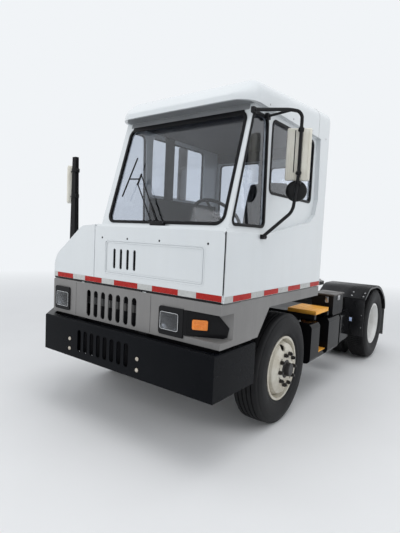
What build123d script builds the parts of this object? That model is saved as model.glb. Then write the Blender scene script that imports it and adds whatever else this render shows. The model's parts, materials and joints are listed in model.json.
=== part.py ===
from build123d import *
import os
from math import atan2, degrees, hypot

# Terminal tractor, in millimetres. +Z is up, the front faces -Y and +X is the vehicle's left.
# The origin is on the ground, in the middle of the length and of the width between the mirrors.
# Distances along the vehicle are measured rearward from the bumper's face, and aft() places them.

# Overall sizes
overall_length = 4830
mirror_reach = 1397
frame_half_width = 432
front_axle_at = 1227
wheelbase = 2946
clearance = 0.3
running = 0.05

# Frame
rail_height = 267
rail_flange = 89
rail_wall = 9.5
frame_top = 907
frame_front = 91

# Bumper
bumper_low = 560
bumper_high = 891
bumper_left = 1157
bumper_flat_right = -817
bumper_return = 571
bumper_wall = 10
bumper_lip = 70
bumper_edge = 8
bumper_slots = 8
bumper_slot_width = 50
bumper_slot_low = 625
bumper_slot_high = 820
bumper_slot_reach = 300

# Fascia, the grey skirt below the cab
fascia_front = 85
fascia_left = 1141
fascia_flat_right = -816
fascia_low = 915
fascia_high = 1234
fascia_wall = 8
fascia_lip = 40
fascia_edge = 9
side_panel_step = 6
side_crease = [(334, 1234), (527, 1017), (530, 915)]
lamp_inner = 571
lamp_outer = 812
lamp_low = 942
lamp_high = 1160
bezel_thickness = 12
bezel_wing = 6
lamp_left = 587
lamp_right = 765
lamp_base = 983
lamp_top = 1117
right_bezel_inner = 553
right_bezel_outer = 775
right_bezel_low = 950
right_bezel_high = 1167
right_lamp_inner = 577
right_lamp_outer = 752
marker_along = 124
marker_height = 1054
pocket_back = 250
pocket_low = 962
pocket_high = 1158
pocket_ledge = 9
grille_slots = 7
grille_slot_width = 56
grille_slot_low = 938
grille_slot_high = 1176
grille_slot_reach = 288
arch_front_low = 633
arch_front_top = 822
arch_top = 1140

# Cab
cab_front = 105
cab_rear = 1930
cab_left = 1141
cab_right = -240
cab_floor = 1242
cab_wall = 35
shoulder_height = 1745
greenhouse_left = 1100
cab_eaves = 2700
screen_foot_at = 172
screen_foot_height = 1768
screen_head_at = 450
roof_lip_at = 372
roof_lip_height = 2738
roof_high = 3010
roof_corner = 110
glass_thickness = 6
hood_right = -830
hood_wall = 12
hood_front = 95
front_low = 1250
panel_seam = 8
panel_left = 1132
panel_high = 1744

# Windows. The windscreen's height is measured up its slope, the side windows have their front low,
# front high, rear high and rear low corners as (distance, height), and the rear ones are
# (left, right, low, high).
screen_left = 1050
screen_right = -160
screen_low = 30
screen_tall = 880
screen_corner = 70
window_corner = 45
quarter_window = [(222, 1800), (452, 2640), (672, 2645), (700, 1800)]
side_window = [(762, 2080), (762, 2650), (1628, 2660), (1628, 2080)]
rear_window = (360, -170, 1850, 2560)
door_window = (1000, 480, 1850, 2500)

# Rear door
door_left = 1060
door_right = 420
door_thickness = 30
door_low = 1290
door_high = 2600
door_gap = 6
door_travel = 600

# Wheels and tyres
tyre_radius = 512
tyre_width = 279
tread_width = 206
bead_width = 210
bulge_radius = 408
tyre_bore = 287
tyre_facets = 60
rim_radius = 286
rim_flange = 298
rim_wall = 9
front_tyre_outer = 1126
rear_tyre_outer = 1215
dual_spacing = 343
disc_offset = 150
stud_circle = 142.9
stud_count = 10
nut_radius = 19
nut_height = 28
stud_radius = 11
rim_well = 262
hand_hole_radius = 30
hand_hole_circle = 209
spindle_radius = 35
drum_radius = 205

# Steering
kingpin_across = 800
kingpin_radius = 22
beam_flat = 620
beam_half_depth = 38

# Fifth wheel and its lift
boom_pivot_at = 2700
boom_pivot_height = 800
boom_arm_inner = 235
boom_arm_outer = 300
boom_top = 895
boom_low = 745
plate_pivot_at = 3900
plate_pivot_height = 985
plate_top = 1085
plate_half_width = 460
plate_half_length = 420
plate_skirt = 55
kingpin_bore = 25.6
cylinder_across = 170
cylinder_foot_at = 3200
cylinder_foot_height = 480
cylinder_eye_at = 3320
cylinder_eye_height = 850
cylinder_pin = 18
cylinder_eye_play = 2.5
cylinder_eye_radius = 34
cylinder_boss = 46
lug_near = 38
lug_thickness = 10
barrel_start = 55
barrel_end = 325
barrel_radius = 45
rod_radius = 25


def aft(distance):
    """Y of a point that lies this far behind the bumper's face."""
    return distance - overall_length / 2


def block(left, right, front, rear, low, high):
    """A box from its spans across, along and up the vehicle."""
    size = (abs(right - left), abs(rear - front), abs(high - low))
    return Pos((left + right) / 2, aft((front + rear) / 2), (low + high) / 2) * Box(*size)


def side_prism(points, left, right):
    """Extrude an outline of (distance, height) points across the vehicle."""
    corners = [(min(left, right), aft(distance), height) for distance, height in points]
    return extrude(Face(Wire.make_polygon(corners)), amount=abs(right - left), dir=(1, 0, 0))


def plan_prism(points, low, high):
    """Extrude an outline of (across, distance) points upward."""
    corners = [(across, aft(distance), low) for across, distance in points]
    return extrude(Face(Wire.make_polygon(corners)), amount=high - low, dir=(0, 0, 1))


def front_prism(points, front, rear):
    """Extrude an outline of (across, height) points rearward."""
    corners = [(across, aft(front), height) for across, height in points]
    return extrude(Face(Wire.make_polygon(corners)), amount=rear - front, dir=(0, 1, 0))


def cross_bar(radius, left, right, distance, height):
    """A round bar that runs across the vehicle."""
    middle = Pos((left + right) / 2, aft(distance), height)
    return middle * Rot(0, 90, 0) * Cylinder(radius, abs(right - left))


def upright_bar(radius, across, distance, low, high):
    """A round bar that stands upright."""
    return Pos(across, aft(distance), (low + high) / 2) * Cylinder(radius, high - low)


def long_bar(radius, across, front, rear, height):
    """A round bar that runs along the vehicle."""
    middle = Pos(across, aft((front + rear) / 2), height)
    return middle * Rot(90, 0, 0) * Cylinder(radius, rear - front)


def bar_between(radius, start, end):
    """A round bar between two (across, distance, height) points."""
    tail = Vector(start[0], aft(start[1]), start[2])
    head = Vector(end[0], aft(end[1]), end[2])
    direction = head - tail
    return Solid.make_cylinder(radius, direction.length, Plane(origin=tail, z_dir=direction))


def both_sides(shape):
    """The shape and its mirror image on the vehicle's other side."""
    return shape + mirror(shape, about=Plane.YZ)


def save(shape, node):
    """Write one node, as a single solid or as a compound of several."""
    solids = shape.solids()
    whole = solids[0] if len(solids) == 1 else Compound(children=list(solids))
    export_step(whole, os.path.join("parts", node + ".step"))


def upright_slots(count, reach, width, low, high, front, rear):
    """Round-ended upright slots through a front panel, evenly spaced."""
    pitch = 2 * reach / (count - 1)
    plane = Plane(origin=(0, aft(front), (low + high) / 2), x_dir=(0, 0, 1), z_dir=(0, 1, 0))
    slot = plane * SlotOverall(high - low, width)
    cutter = extrude(slot, amount=rear - front, dir=(0, 1, 0))
    cutters = [Pos(-reach + pitch * step, 0, 0) * cutter for step in range(count)]
    return Part() + cutters


def wrap_wall(outline, low, high, wall, edge=0):
    """A wall of even thickness behind a plan outline, open at the rear, with its top edge broken."""
    corners = [(across, aft(distance), low) for across, distance in outline]
    outer = Face(Wire.make_polygon(corners))
    inner = offset(outer, amount=-wall, kind=Kind.INTERSECTION)
    solid = extrude(outer, amount=high - low, dir=(0, 0, 1))
    if edge:
        solid = chamfer(solid.edges().group_by(Axis.Z)[-1], edge)
    hollow = extrude(inner, amount=high - low, dir=(0, 0, 1))
    return solid - hollow - Pos(0, 3 * wall, 0) * hollow


def make_frame():
    """Two channel rails with their crossmembers and brackets."""
    low = frame_top - rail_height
    rear = overall_length - 25
    web = block(frame_half_width - rail_wall, frame_half_width, frame_front, rear, low, frame_top)
    top = block(frame_half_width - rail_flange, frame_half_width, frame_front, rear,
                frame_top - rail_wall, frame_top)
    bottom = block(frame_half_width - rail_flange, frame_half_width, frame_front, rear,
                   low, low + rail_wall)
    frame = both_sides(web + top + bottom)
    inner = frame_half_width - rail_wall
    # Crossmember tables: distance, depth along, low and high.
    crossmembers = [
        (135, 60, low + 10, low + 90),
        (1860, 90, frame_top - 130, frame_top - 15),
        (2500, 60, low + 80, frame_top - 20),
        (rear - 10, 20, low, frame_top - 90),
    ]
    for distance, depth, under, over in crossmembers:
        frame += block(-inner, inner, distance - depth / 2, distance + depth / 2, under, over)
    # Tail ramps on top of the rails guide a trailer on to the plate.
    ramp = [(rear - 420, frame_top), (rear, frame_top - 90), (rear, frame_top + 20)]
    frame -= both_sides(side_prism(ramp, frame_half_width - rail_flange - 1, frame_half_width + 1))
    # Pivot brackets of the boom, inside the rails.
    bracket = side_prism(
        [(boom_pivot_at - 110, low + rail_wall), (boom_pivot_at + 110, low + rail_wall),
         (boom_pivot_at + 60, boom_pivot_height + 70), (boom_pivot_at - 60, boom_pivot_height + 70)],
        boom_arm_outer + 12, inner)
    pin = cross_bar(30, boom_arm_inner - 20, boom_arm_outer + 12, boom_pivot_at, boom_pivot_height)
    frame += both_sides(bracket + pin)
    # Cradle under the drive shaft that carries the feet of the lift cylinders.
    sill = cylinder_foot_height - 62
    cradle = block(-inner - rail_wall, inner + rail_wall, cylinder_foot_at - 70, cylinder_foot_at + 70,
                   sill, sill + 16)
    for side in (-1, 1):
        cradle += block(side * (inner - 10), side * (inner + rail_wall), cylinder_foot_at - 70,
                        cylinder_foot_at + 70, sill, low)
        for lug in (cylinder_across - lug_near, cylinder_across + lug_near - lug_thickness):
            cradle += block(side * lug, side * (lug + lug_thickness), cylinder_foot_at - 35,
                            cylinder_foot_at + 35, sill, cylinder_foot_height + cylinder_pin + 8)
        cradle += cross_bar(cylinder_pin, side * (cylinder_across - lug_near),
                            side * (cylinder_across + lug_near), cylinder_foot_at, cylinder_foot_height)
    return frame + cradle


def make_cab_posts():
    """Hinge posts at the cab's front edge and rest posts under its rear."""
    across = frame_half_width - rail_flange / 2
    hinge_high = cab_floor - 8
    post = block(across - 30, across + 30, frame_front + 2, frame_front + 60, frame_top, hinge_high - 30)
    for side in (-1, 1):
        post += block(across + side * 24, across + side * 30, frame_front + 2, frame_front + 40,
                      hinge_high - 30, hinge_high + 5)
    post += cross_bar(5, across - 30, across + 30, cab_front, hinge_high)
    rest = block(across - 40, across + 40, cab_rear - 120, cab_rear - 40, frame_top, cab_floor - 40)
    rest += upright_bar(32, across, cab_rear - 80, cab_floor - 40, cab_floor - clearance)
    return both_sides(post + rest)


def make_bumper():
    """Folded plate bumper, square at the left end and clipped at the right."""
    reach = bumper_left + bumper_flat_right
    outline = [(bumper_left, 0), (bumper_flat_right, 0), (-bumper_left, reach),
               (-bumper_left, bumper_return), (bumper_left, bumper_return)]
    bumper = wrap_wall(outline, bumper_low, bumper_high, bumper_wall, bumper_edge)
    for under, over in ((bumper_low, bumper_low + bumper_wall), (bumper_high - bumper_wall, bumper_high)):
        bumper += wrap_wall(outline, under, over, bumper_lip, bumper_edge if over == bumper_high else 0)
    bumper -= upright_slots(bumper_slots, bumper_slot_reach, bumper_slot_width,
                            bumper_slot_low, bumper_slot_high, -1, bumper_wall + 1)
    for side in (-1, 1):
        across = side * (frame_half_width - 30)
        bumper += block(across - 30, across + 30, bumper_wall, frame_front, 650, 860)
    return bumper


def fascia_outline():
    """Plan of the fascia: square at the left, clipped at the right, open at the rear."""
    reach = fascia_left + fascia_flat_right + fascia_front
    return [(fascia_left, fascia_front), (fascia_flat_right, fascia_front), (-fascia_left, reach),
            (-fascia_left, cab_rear), (fascia_left, cab_rear)]


def make_lamp_pocket():
    """Wedge cut into the fascia's left corner, and the thin walls that line it."""
    past = 20
    room = plan_prism([(lamp_outer, fascia_front), (lamp_outer, fascia_front - past),
                       (fascia_left + past, fascia_front - past), (fascia_left + past, pocket_back),
                       (fascia_left, pocket_back)], pocket_low, pocket_high)
    lining = plan_prism([(lamp_outer - pocket_ledge, fascia_front), (fascia_left, fascia_front),
                         (fascia_left, pocket_back + pocket_ledge)],
                        pocket_low - pocket_ledge, pocket_high + pocket_ledge)
    return room, lining


def make_fascia():
    """Grey skirt below the cab with its grille, lamp pocket and wheel arches."""
    outline = fascia_outline()
    fascia = wrap_wall(outline, fascia_low, fascia_high, fascia_wall, fascia_edge)
    fascia += wrap_wall(outline, fascia_high - 12, fascia_high, fascia_lip, fascia_edge)
    fascia -= upright_slots(grille_slots, grille_slot_reach, grille_slot_width,
                            grille_slot_low, grille_slot_high, fascia_front - 1, fascia_front + fascia_wall + 1)
    # Behind the crease each side panel steps in, at the same wall.
    for side in (-1, 1):
        panel = side_crease + [(cab_rear + 1, fascia_low), (cab_rear + 1, fascia_high)]
        face = side * (fascia_left - side_panel_step)
        wall = side_prism(panel, face - side * fascia_wall, face)
        wall &= block(-fascia_left, fascia_left, fascia_front, cab_rear, fascia_low, fascia_high)
        fascia = fascia + wall - side_prism(panel, face, side * (fascia_left + 1))
    room, lining = make_lamp_pocket()
    fascia = fascia + lining - room
    arch = side_prism([(arch_front_low - 15, fascia_low - 20), (arch_front_top, arch_top),
                       (cab_rear + 10, arch_top - 5), (cab_rear + 10, fascia_low - 20)], -1300, 1300)
    fascia -= arch
    across = frame_half_width - rail_flange / 2
    notch = block(across - 36, across + 36, fascia_front + fascia_wall, fascia_front + 50,
                  fascia_high - 20, fascia_high + 5)
    return fascia - both_sides(notch)


def make_engine():
    """Engine as one plain block, with its gearbox, at its real place."""
    engine = block(-270, 270, 560, 1420, 650, 1190)
    gearbox = block(-200, 200, 1420, 1800, 600, 960)
    return engine + gearbox


def make_radiator():
    """Radiator core in its frame behind the grille."""
    core = block(-330, 330, 190, 260, 690, 1195)
    ends = frame_half_width - rail_wall - clearance
    return core + block(-ends, ends, 180, 270, 655, 690)


def make_front_axle():
    """Forged front beam with its kingpins."""
    high = tyre_radius
    near = front_axle_at - beam_half_depth
    far = front_axle_at + beam_half_depth
    beam = block(-beam_flat, beam_flat, near, far, high - 145, high - 60)
    rise = front_prism([(beam_flat - 10, high - 145), (beam_flat, high - 145), (beam_flat + 85, high - 60),
                        (kingpin_across, high - 60), (kingpin_across, high + 40),
                        (kingpin_across - 100, high + 10), (beam_flat - 10, high - 60)], near, far)
    boss = upright_bar(48, kingpin_across, front_axle_at, high - 60, high + 60)
    pin = upright_bar(kingpin_radius, kingpin_across, front_axle_at, high - 100, high + 100)
    return beam + both_sides(rise + boss + pin)


def make_front_springs():
    """Leaf packs between the front beam and the rails."""
    across = frame_half_width - 35
    seat = tyre_radius - 60
    pack = Part()
    # Leaf table: half length and level of each leaf.
    for half_length, level in ((520, 2), (400, 1), (260, 0)):
        pack += block(across - 38, across + 38, front_axle_at - half_length, front_axle_at + half_length,
                      seat + level * 18, seat + level * 18 + 18)
    for end in (-1, 1):
        at = front_axle_at + end * 500
        pack += block(across - 30, across + 30, at - 25, at + 25, seat + 54, frame_top - rail_height)
    return both_sides(pack)


def make_drive_shaft():
    """Drive shaft from the gearbox to the rear axle."""
    return bar_between(45, (0, 1803.5, 690), (0, front_axle_at + wheelbase - 228.6, tyre_radius + 30))


def make_rear_axle():
    """Rear axle with its gear housing, seated straight on the rails."""
    at = front_axle_at + wheelbase
    axle = cross_bar(70, -760, 760, at, tyre_radius)
    banjo = cross_bar(190, -110, 110, at, tyre_radius)
    nose = long_bar(85, 0, at - 225, at - 100, tyre_radius + 28)
    axle += banjo + nose
    axle += cross_bar(spindle_radius, -1010, 1010, at, tyre_radius)
    across = frame_half_width - rail_flange / 2
    seat = block(across - 42, across + 42, at - 90, at + 90, tyre_radius + 40, frame_top - rail_height)
    return axle + both_sides(seat)


def wheel_section(points):
    """Revolve an outline of (across, radius) points about the wheel's own axle line."""
    outline = Face(Wire.make_polygon([(across, radius, 0) for across, radius in points]))
    return revolve(outline, axis=Axis.X)


def tyre_ring(across, radius):
    """Outline of the tyre at one place across, as a many-sided ring with a corner on the ground."""
    plane = Plane(origin=(across, 0, 0), x_dir=(0, 0, -1), z_dir=(1, 0, 0))
    return plane * RegularPolygon(radius, tyre_facets)


def make_tyre():
    """One tyre about its own middle."""
    # Section table: half width and radius.
    half = [(bead_width / 2 - clearance, rim_flange + 1), (tyre_width / 2, bulge_radius),
            (tread_width / 2, tyre_radius)]
    section = [(-across, radius) for across, radius in half] + half[::-1]
    body = loft([tyre_ring(across, radius) for across, radius in section], ruled=True)
    bore = extrude(tyre_ring(-tyre_width, tyre_bore), amount=2 * tyre_width, dir=(1, 0, 0))
    return body - bore


def rim_barrel(middle=0):
    """Rim well and flanges about a rim's middle."""
    half = bead_width / 2
    points = [(-half, rim_radius), (-half, rim_flange), (-half - 9, rim_flange), (-half - 9, rim_radius - rim_wall),
              (-half + 40, rim_well), (half - 40, rim_well), (half + 9, rim_radius - rim_wall),
              (half + 9, rim_flange), (half, rim_flange), (half, rim_radius)]
    return wheel_section([(middle + across, radius) for across, radius in points])


def hexagon_at(across):
    """A nut's outline, square to the axle line at one place across."""
    plane = Plane(origin=(across, 0, 0), x_dir=(0, 1, 0), z_dir=(1, 0, 0))
    return plane * RegularPolygon(nut_radius, 6)


def stud_pattern(shape):
    """Copies of a shape made along +X at the stud circle."""
    return [Rot(360 / stud_count * step, 0, 0) * Pos(0, stud_circle, 0) * shape
            for step in range(stud_count)]


def hand_holes(face):
    """Two hand holes through a wheel disc."""
    hole = Pos(face, hand_hole_circle, 0) * Rot(0, 90, 0) * Cylinder(hand_hole_radius, 120)
    return [Rot(turn, 0, 0) * hole for turn in (45, 225)]


def make_front_rim():
    """Steel front rim whose disc bulges towards +X."""
    face = disc_offset
    disc = wheel_section([
        (20, rim_well), (42, rim_well), (face - 30, 232), (face, 180), (face, 84),
        (face - 12, 84), (face - 12, 172), (face - 38, 222)])
    disc -= Part() + hand_holes(face - 20)
    disc -= Part() + stud_pattern(Pos(face, 0, 0) * Rot(0, 90, 0) * Cylinder(stud_radius + 1, 60))
    return rim_barrel() + disc


def make_front_hub(spindle_start):
    """Front hub with its drum, studs and nuts, about the rim's middle."""
    face = disc_offset
    seat = face - 12 - clearance
    hub = wheel_section([
        (spindle_start, spindle_radius + running), (seat, spindle_radius + running), (seat, 0),
        (face + 52, 0), (face + 52, 52), (face + 44, 60), (face + 8, 66), (face, 83), (seat, 83),
        (seat, 171), (seat - 14, 171), (seat - 14, 90), (spindle_start, 90)])
    drum = wheel_section([
        (seat, 88), (seat, 170), (face - 60, drum_radius), (face - 200, drum_radius),
        (face - 200, drum_radius - 14), (face - 66, drum_radius - 14), (seat - 14, 160), (seat - 14, 88)])
    stud = Pos(face + 10, 0, 0) * Rot(0, 90, 0) * Cylinder(stud_radius, 60)
    nut = extrude(hexagon_at(face + clearance), amount=nut_height, dir=(1, 0, 0))
    return hub + drum + stud_pattern(stud) + stud_pattern(nut)


def make_knuckle():
    """Left knuckle: a fork round the beam's end, its spindle and steering arm."""
    high = tyre_radius
    inner = kingpin_across
    outer = inner + 68
    fork = block(inner + 52, outer, front_axle_at - 48, front_axle_at + 48, high - 96, high + 96)
    for under, over in ((high - 96, high - 66), (high + 66, high + 96)):
        fork += block(inner, outer, front_axle_at - 48, front_axle_at + 48, under, over)
        fork += upright_bar(48, inner, front_axle_at, under, over)
    fork -= upright_bar(kingpin_radius + running, inner, front_axle_at, high - 130, high + 130)
    tip = front_tyre_outer - tyre_width / 2 + disc_offset - 12 - 4
    fork += cross_bar(spindle_radius, outer - 4, tip, front_axle_at, high)
    arm = plan_prism([(inner - 20, front_axle_at + 30), (inner + 20, front_axle_at + 30),
                      (inner - 40, front_axle_at + 200), (inner - 70, front_axle_at + 200)],
                     high - 96, high - 72)
    return fork + arm


def rounded_tank(left, right, front, rear, low, high, radius):
    """A tank with rounded long edges, running along the vehicle."""
    tank = block(left, right, front, rear, low, high)
    return fillet(tank.edges().filter_by(Axis.Y), radius)


def make_left_tank():
    """Left tank with the boarding step let into its middle."""
    outer = 1130
    inner = 640
    low = 405
    high = 830
    tank = rounded_tank(inner, outer, 1840, 2750, low, high, 55)
    tank -= block(860, outer + 20, 2080, 2370, low + 60, high + 20)
    tank -= block(outer - 30, outer + 20, 2080, 2370, low - 20, high)
    for at in (1960, 2560):
        tank += block(frame_half_width, inner + 30, at - 30, at + 30, 660, 790)
    return tank


def make_right_tank():
    """Right fuel tank on its two brackets."""
    tank = rounded_tank(-1120, -640, 1850, 2900, 405, 850, 90)
    for at in (2050, 2700):
        tank += block(-670, -frame_half_width, at - 30, at + 30, 660, 800)
    return tank


def make_oil_tank():
    """Oil tank ahead of the left rear wheels."""
    tank = rounded_tank(640, 1080, 2960, 3330, 380, 800, 60)
    return tank + block(frame_half_width, 670, 3080, 3200, 660, 780)


def make_treads():
    """Yellow boarding treads: the low step and the platform behind the cab."""
    low = block(861, 1100 - clearance, 2081, 2369, 465 + clearance, 477)
    platform = block(780, 1105, 1850, 2395, 938, 950)
    for lip in (1975, 2395 - 8):
        platform += block(780, 1100, lip, lip + 8, frame_top + clearance, 938)
    return low + platform


def make_deck():
    """Tread plate behind the cab with its outriggers and the battery box under its lid."""
    deck = block(-860, 776, 1960, 2600, frame_top, frame_top + 12)
    deck += block(-860, -frame_half_width, 1960, 1968, frame_top - 45, frame_top)
    deck += block(frame_half_width, 776, 1960, 1968, frame_top - 45, frame_top)
    for at in (2000, 2400):
        deck += block(frame_half_width, 1100, at - 25, at + 25, frame_top - 50, frame_top)
    return deck


def make_battery_box():
    """Battery box with its bright lid."""
    box = block(870, 1125, 2480, 2840, 860, 1072)
    lid = block(862, 1133, 2472, 2848, 1072, 1086)
    bracket = block(frame_half_width, 870, 2600, 2760, 830, 860)
    return box + lid + bracket + block(860, 1125, 2500, 2820, 840, 860)


def make_rear_fender():
    """Left rear fender: front drop panel, sloped top and arch over the twin tyres."""
    axle_at = front_axle_at + wheelbase
    outer = 1225
    inner = 570
    skin = 6
    top = 1092
    outline = [(3480, 430), (3480, 950), (3800, top), (4480, top), (4700, 930), (4760, 760), (4760, 690)]
    inside = [(4760 - skin, 690), (4760 - skin, 760), (4694, 926), (4476, top - skin), (3802, top - skin),
              (3480 + skin, 946), (3480 + skin, 430)]
    fender = side_prism(outline + inside, inner, outer)
    # The drop panel keeps only its outer part, cut away low on the inside.
    fender -= side_prism([(3400, 300), (3400, 940), (3500, 940), (3500, 300)], inner - 1, 960)
    notch = front_prism([(959, 300), (1105, 430), (959, 700)], 3400, 3500)
    fender -= notch
    # Outer lip, and two stays to the rail.
    lip = [(3480, 950), (3800, top), (4480, top), (4700, 930), (4700, 890), (4470, 1056),
           (3815, 1056), (3480, 905)]
    fender += side_prism(lip, outer - skin, outer)
    for at in (3600, 4640):
        height = 905 if at < axle_at else 850
        fender += block(frame_half_width, inner + 60, at - 22, at + 22, height - 60, height - 20)
        fender += block(inner, inner + 60, at - 22, at + 22, height - 60, 985 if at < axle_at else 960)
    return fender


def make_mud_flap():
    """Left mud flap, hung from the fender's rear edge."""
    return block(600, 1215, 4760 + clearance, 4770, 250, 752)


def make_tail_lamps():
    """Round tail lamps on the rear crossmember."""
    rear = overall_length - 25
    lamps = Part()
    for across in (250, 360):
        lamps += long_bar(50, across, rear + clearance, overall_length, 750)
    return both_sides(lamps)


def make_exhaust():
    """Upright exhaust with its silencer behind the cab's right corner."""
    stack = upright_bar(62, -940, 2120, 2060, 2870)
    silencer = upright_bar(125, -940, 2120, 1130, 2060)
    foot = upright_bar(62, -940, 2120, 919, 1130)
    shelf = block(-1062, -860, 2000, 2240, 907, 919)
    return stack + silencer + foot + shelf


def cab_side_outline(inset):
    """Cab outline from the side, moved inward by an inset."""
    slope = (screen_head_at - screen_foot_at) / (cab_eaves - screen_foot_height)
    lean = inset * hypot(1, slope)
    foot = screen_foot_at + lean
    head = screen_head_at + lean
    return [(cab_front + inset, cab_floor + inset), (cab_front + inset, screen_foot_height - 30 - inset),
            (cab_front + 15 + inset, screen_foot_height - inset),
            (foot - slope * inset, screen_foot_height - inset), (head, cab_eaves),
            (cab_rear - inset, cab_eaves), (cab_rear - inset, cab_floor + inset)]


def cab_front_outline(inset):
    """Cab outline from the front, moved inward by an inset."""
    return [(cab_right + inset, cab_floor - 5), (cab_right + inset, cab_eaves + 5),
            (greenhouse_left - inset, cab_eaves + 5), (greenhouse_left - inset, shoulder_height + 35),
            (cab_left - inset, shoulder_height - 8), (cab_left - inset, cab_floor - 5)]


def screen_plane():
    """Plane of the windscreen, at the foot of its slope, facing outward."""
    rise = cab_eaves - screen_foot_height
    run = screen_head_at - screen_foot_at
    up = Vector(0, run, rise).normalized()
    return Plane(origin=(0, aft(screen_foot_at), screen_foot_height), x_dir=(1, 0, 0),
                 z_dir=Vector(1, 0, 0).cross(up))


def rounded_outline(width, height, radius):
    """A rectangle with round corners."""
    return RectangleRounded(width, height, radius)


def screen_prism(spare, outward, inward):
    """The windscreen's outline as a prism across the sloping wall."""
    outline = Pos((screen_left + screen_right) / 2, screen_low + screen_tall / 2) * rounded_outline(
        screen_left - screen_right - 2 * spare, screen_tall - 2 * spare, screen_corner)
    face = screen_plane() * outline
    direction = screen_plane().z_dir
    shifted = Pos(*(direction * outward)) * face
    return extrude(shifted, amount=outward + inward, dir=-direction)


def side_window_prism(points, left, right, spare):
    """A side window as a prism with round corners."""
    corners = [(min(left, right), aft(distance), height) for distance, height in points]
    outline = Face(Wire.make_polygon(corners))
    rounded = outline.fillet_2d(window_corner, outline.vertices())
    if spare:
        rounded = offset(rounded, amount=-spare)
    return extrude(rounded, amount=abs(right - left), dir=(1, 0, 0))


def rear_window_prism(left, right, low, high, front, rear, spare):
    """A rear window as a prism with round corners."""
    plane = Plane(origin=((left + right) / 2, aft(front), (low + high) / 2),
                  x_dir=(1, 0, 0), z_dir=(0, -1, 0))
    outline = plane * rounded_outline(abs(right - left) - 2 * spare, high - low - 2 * spare, window_corner)
    return extrude(outline, amount=rear - front, dir=(0, 1, 0))


def make_cab_shell():
    """Hollow cab with its windows and doorway cut through single walls."""
    outer = side_prism(cab_side_outline(0), cab_right, cab_left) & front_prism(
        cab_front_outline(0), cab_front - 10, cab_rear + 10)
    pillar = side_prism([(620, shoulder_height - 12), (1560, 1880), (1680, 1960), (1732, 2110),
                         (1700, cab_eaves), (cab_rear, cab_eaves), (cab_rear, 1700), (620, 1700)],
                        greenhouse_left - cab_wall, cab_left)
    inner = side_prism(cab_side_outline(cab_wall), cab_right, cab_left) & front_prism(
        cab_front_outline(cab_wall), cab_front, cab_rear)
    shell = outer + pillar - inner
    shell -= block(cab_right + cab_wall, greenhouse_left - cab_wall, 520, cab_rear - cab_wall,
                   cab_eaves - 60, cab_eaves + 20)
    shell -= screen_prism(0, 60, 90)
    for window in (quarter_window, side_window):
        shell -= side_window_prism(window, greenhouse_left - cab_wall - 5, greenhouse_left + 60, 0)
        shell -= side_window_prism(window, cab_right - 5, cab_right + cab_wall + 5, 0)
    left, right, low, high = rear_window
    shell -= rear_window_prism(left, right, low, high, cab_rear - cab_wall - 5, cab_rear + 5, 0)
    shell -= block(door_right + 30, door_left - 30, cab_rear - cab_wall - 5, cab_rear + 5,
                   cab_floor + cab_wall, door_high - 40)
    across = frame_half_width - rail_flange / 2
    hinge_high = cab_floor - 8
    lug = cross_bar(8, across - 20, across + 20, cab_front, hinge_high)
    lug += block(across - 20, across + 20, cab_front, cab_front + 8, hinge_high, cab_floor + 5)
    lug -= cross_bar(5 + running, across - 25, across + 25, cab_front, hinge_high)
    # Tracks that the rear door hangs from and slides on.
    top_track = block(door_right - door_travel, door_left + 10, cab_rear, cab_rear + door_gap + 40,
                      door_high + 12, door_high + 24)
    foot_track = block(door_right - door_travel, door_left + 10, cab_rear, cab_rear + door_gap + 40,
                       door_low - 24, door_low - 12)
    return shell + lug + top_track + foot_track


def make_roof():
    """Roof cap with its visor, closed above and open to the cab."""
    side = [(roof_lip_at + 30, cab_eaves + 2), (roof_lip_at, roof_lip_height), (roof_lip_at + 20, 2785),
            (700, 2950), (900, 2985), (cab_rear - 40, roof_high), (cab_rear, roof_high - 30),
            (cab_rear, cab_eaves)]
    across = [(cab_right, cab_eaves - 40), (cab_right, 2960), (cab_right + 70, roof_high + 20),
              (cab_left - 110, roof_high + 20), (cab_left - 40, 2960), (cab_left, 2760),
              (cab_left, cab_eaves - 40)]
    outer = side_prism([(screen_head_at, cab_eaves)] + side, cab_right, cab_left) & front_prism(
        across, roof_lip_at - 10, cab_rear + 10)
    hollow = side_prism([(560, cab_eaves - 1), (560, 2790), (740, 2920), (cab_rear - 60, roof_high - 35),
                         (cab_rear - 35, roof_high - 60), (cab_rear - 35, cab_eaves - 1)],
                        cab_right + cab_wall, greenhouse_left - cab_wall)
    plan = block(cab_right, cab_left, roof_lip_at - 10, cab_rear + 60, cab_eaves - 60, roof_high + 60)
    plan = fillet(plan.edges().filter_by(Axis.Z).group_by(Axis.Y)[0], roof_corner)
    return (outer & plan) - hollow


def make_hood():
    """Engine hood to the right of the cab, chamfered along its top."""
    gap = clearance
    outer = [(cab_right - gap, cab_floor), (cab_right - gap, 1762), (-405, 1748), (-440, 1733),
             (-765, 1490), (-792, 1462), (-820, 1405), (hood_right, 1355), (hood_right, cab_floor)]
    inner = [(cab_right - gap + 1, cab_floor - 1), (cab_right - gap + 1, 1762 - hood_wall),
             (-402, 1748 - hood_wall), (-433, 1723), (-757, 1481), (-781, 1456), (-808, 1402),
             (hood_right + hood_wall, 1354), (hood_right + hood_wall, cab_floor - 1)]
    hood = front_prism(outer, hood_front, cab_rear) - front_prism(
        inner, hood_front + hood_wall, cab_rear - hood_wall)
    hood -= block(hood_right - 1, cab_right, hood_front - 1, cab_front, cab_floor - 1, front_low)
    across = -(frame_half_width - rail_flange / 2)
    hinge_high = cab_floor - 8
    lug = cross_bar(8, across - 20, across + 20, cab_front, hinge_high)
    lug += block(across - 20, across + 20, cab_front, cab_front + 8, hinge_high, cab_floor + 5)
    lug -= cross_bar(5 + running, across - 25, across + 25, cab_front, hinge_high)
    return hood + lug


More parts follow.
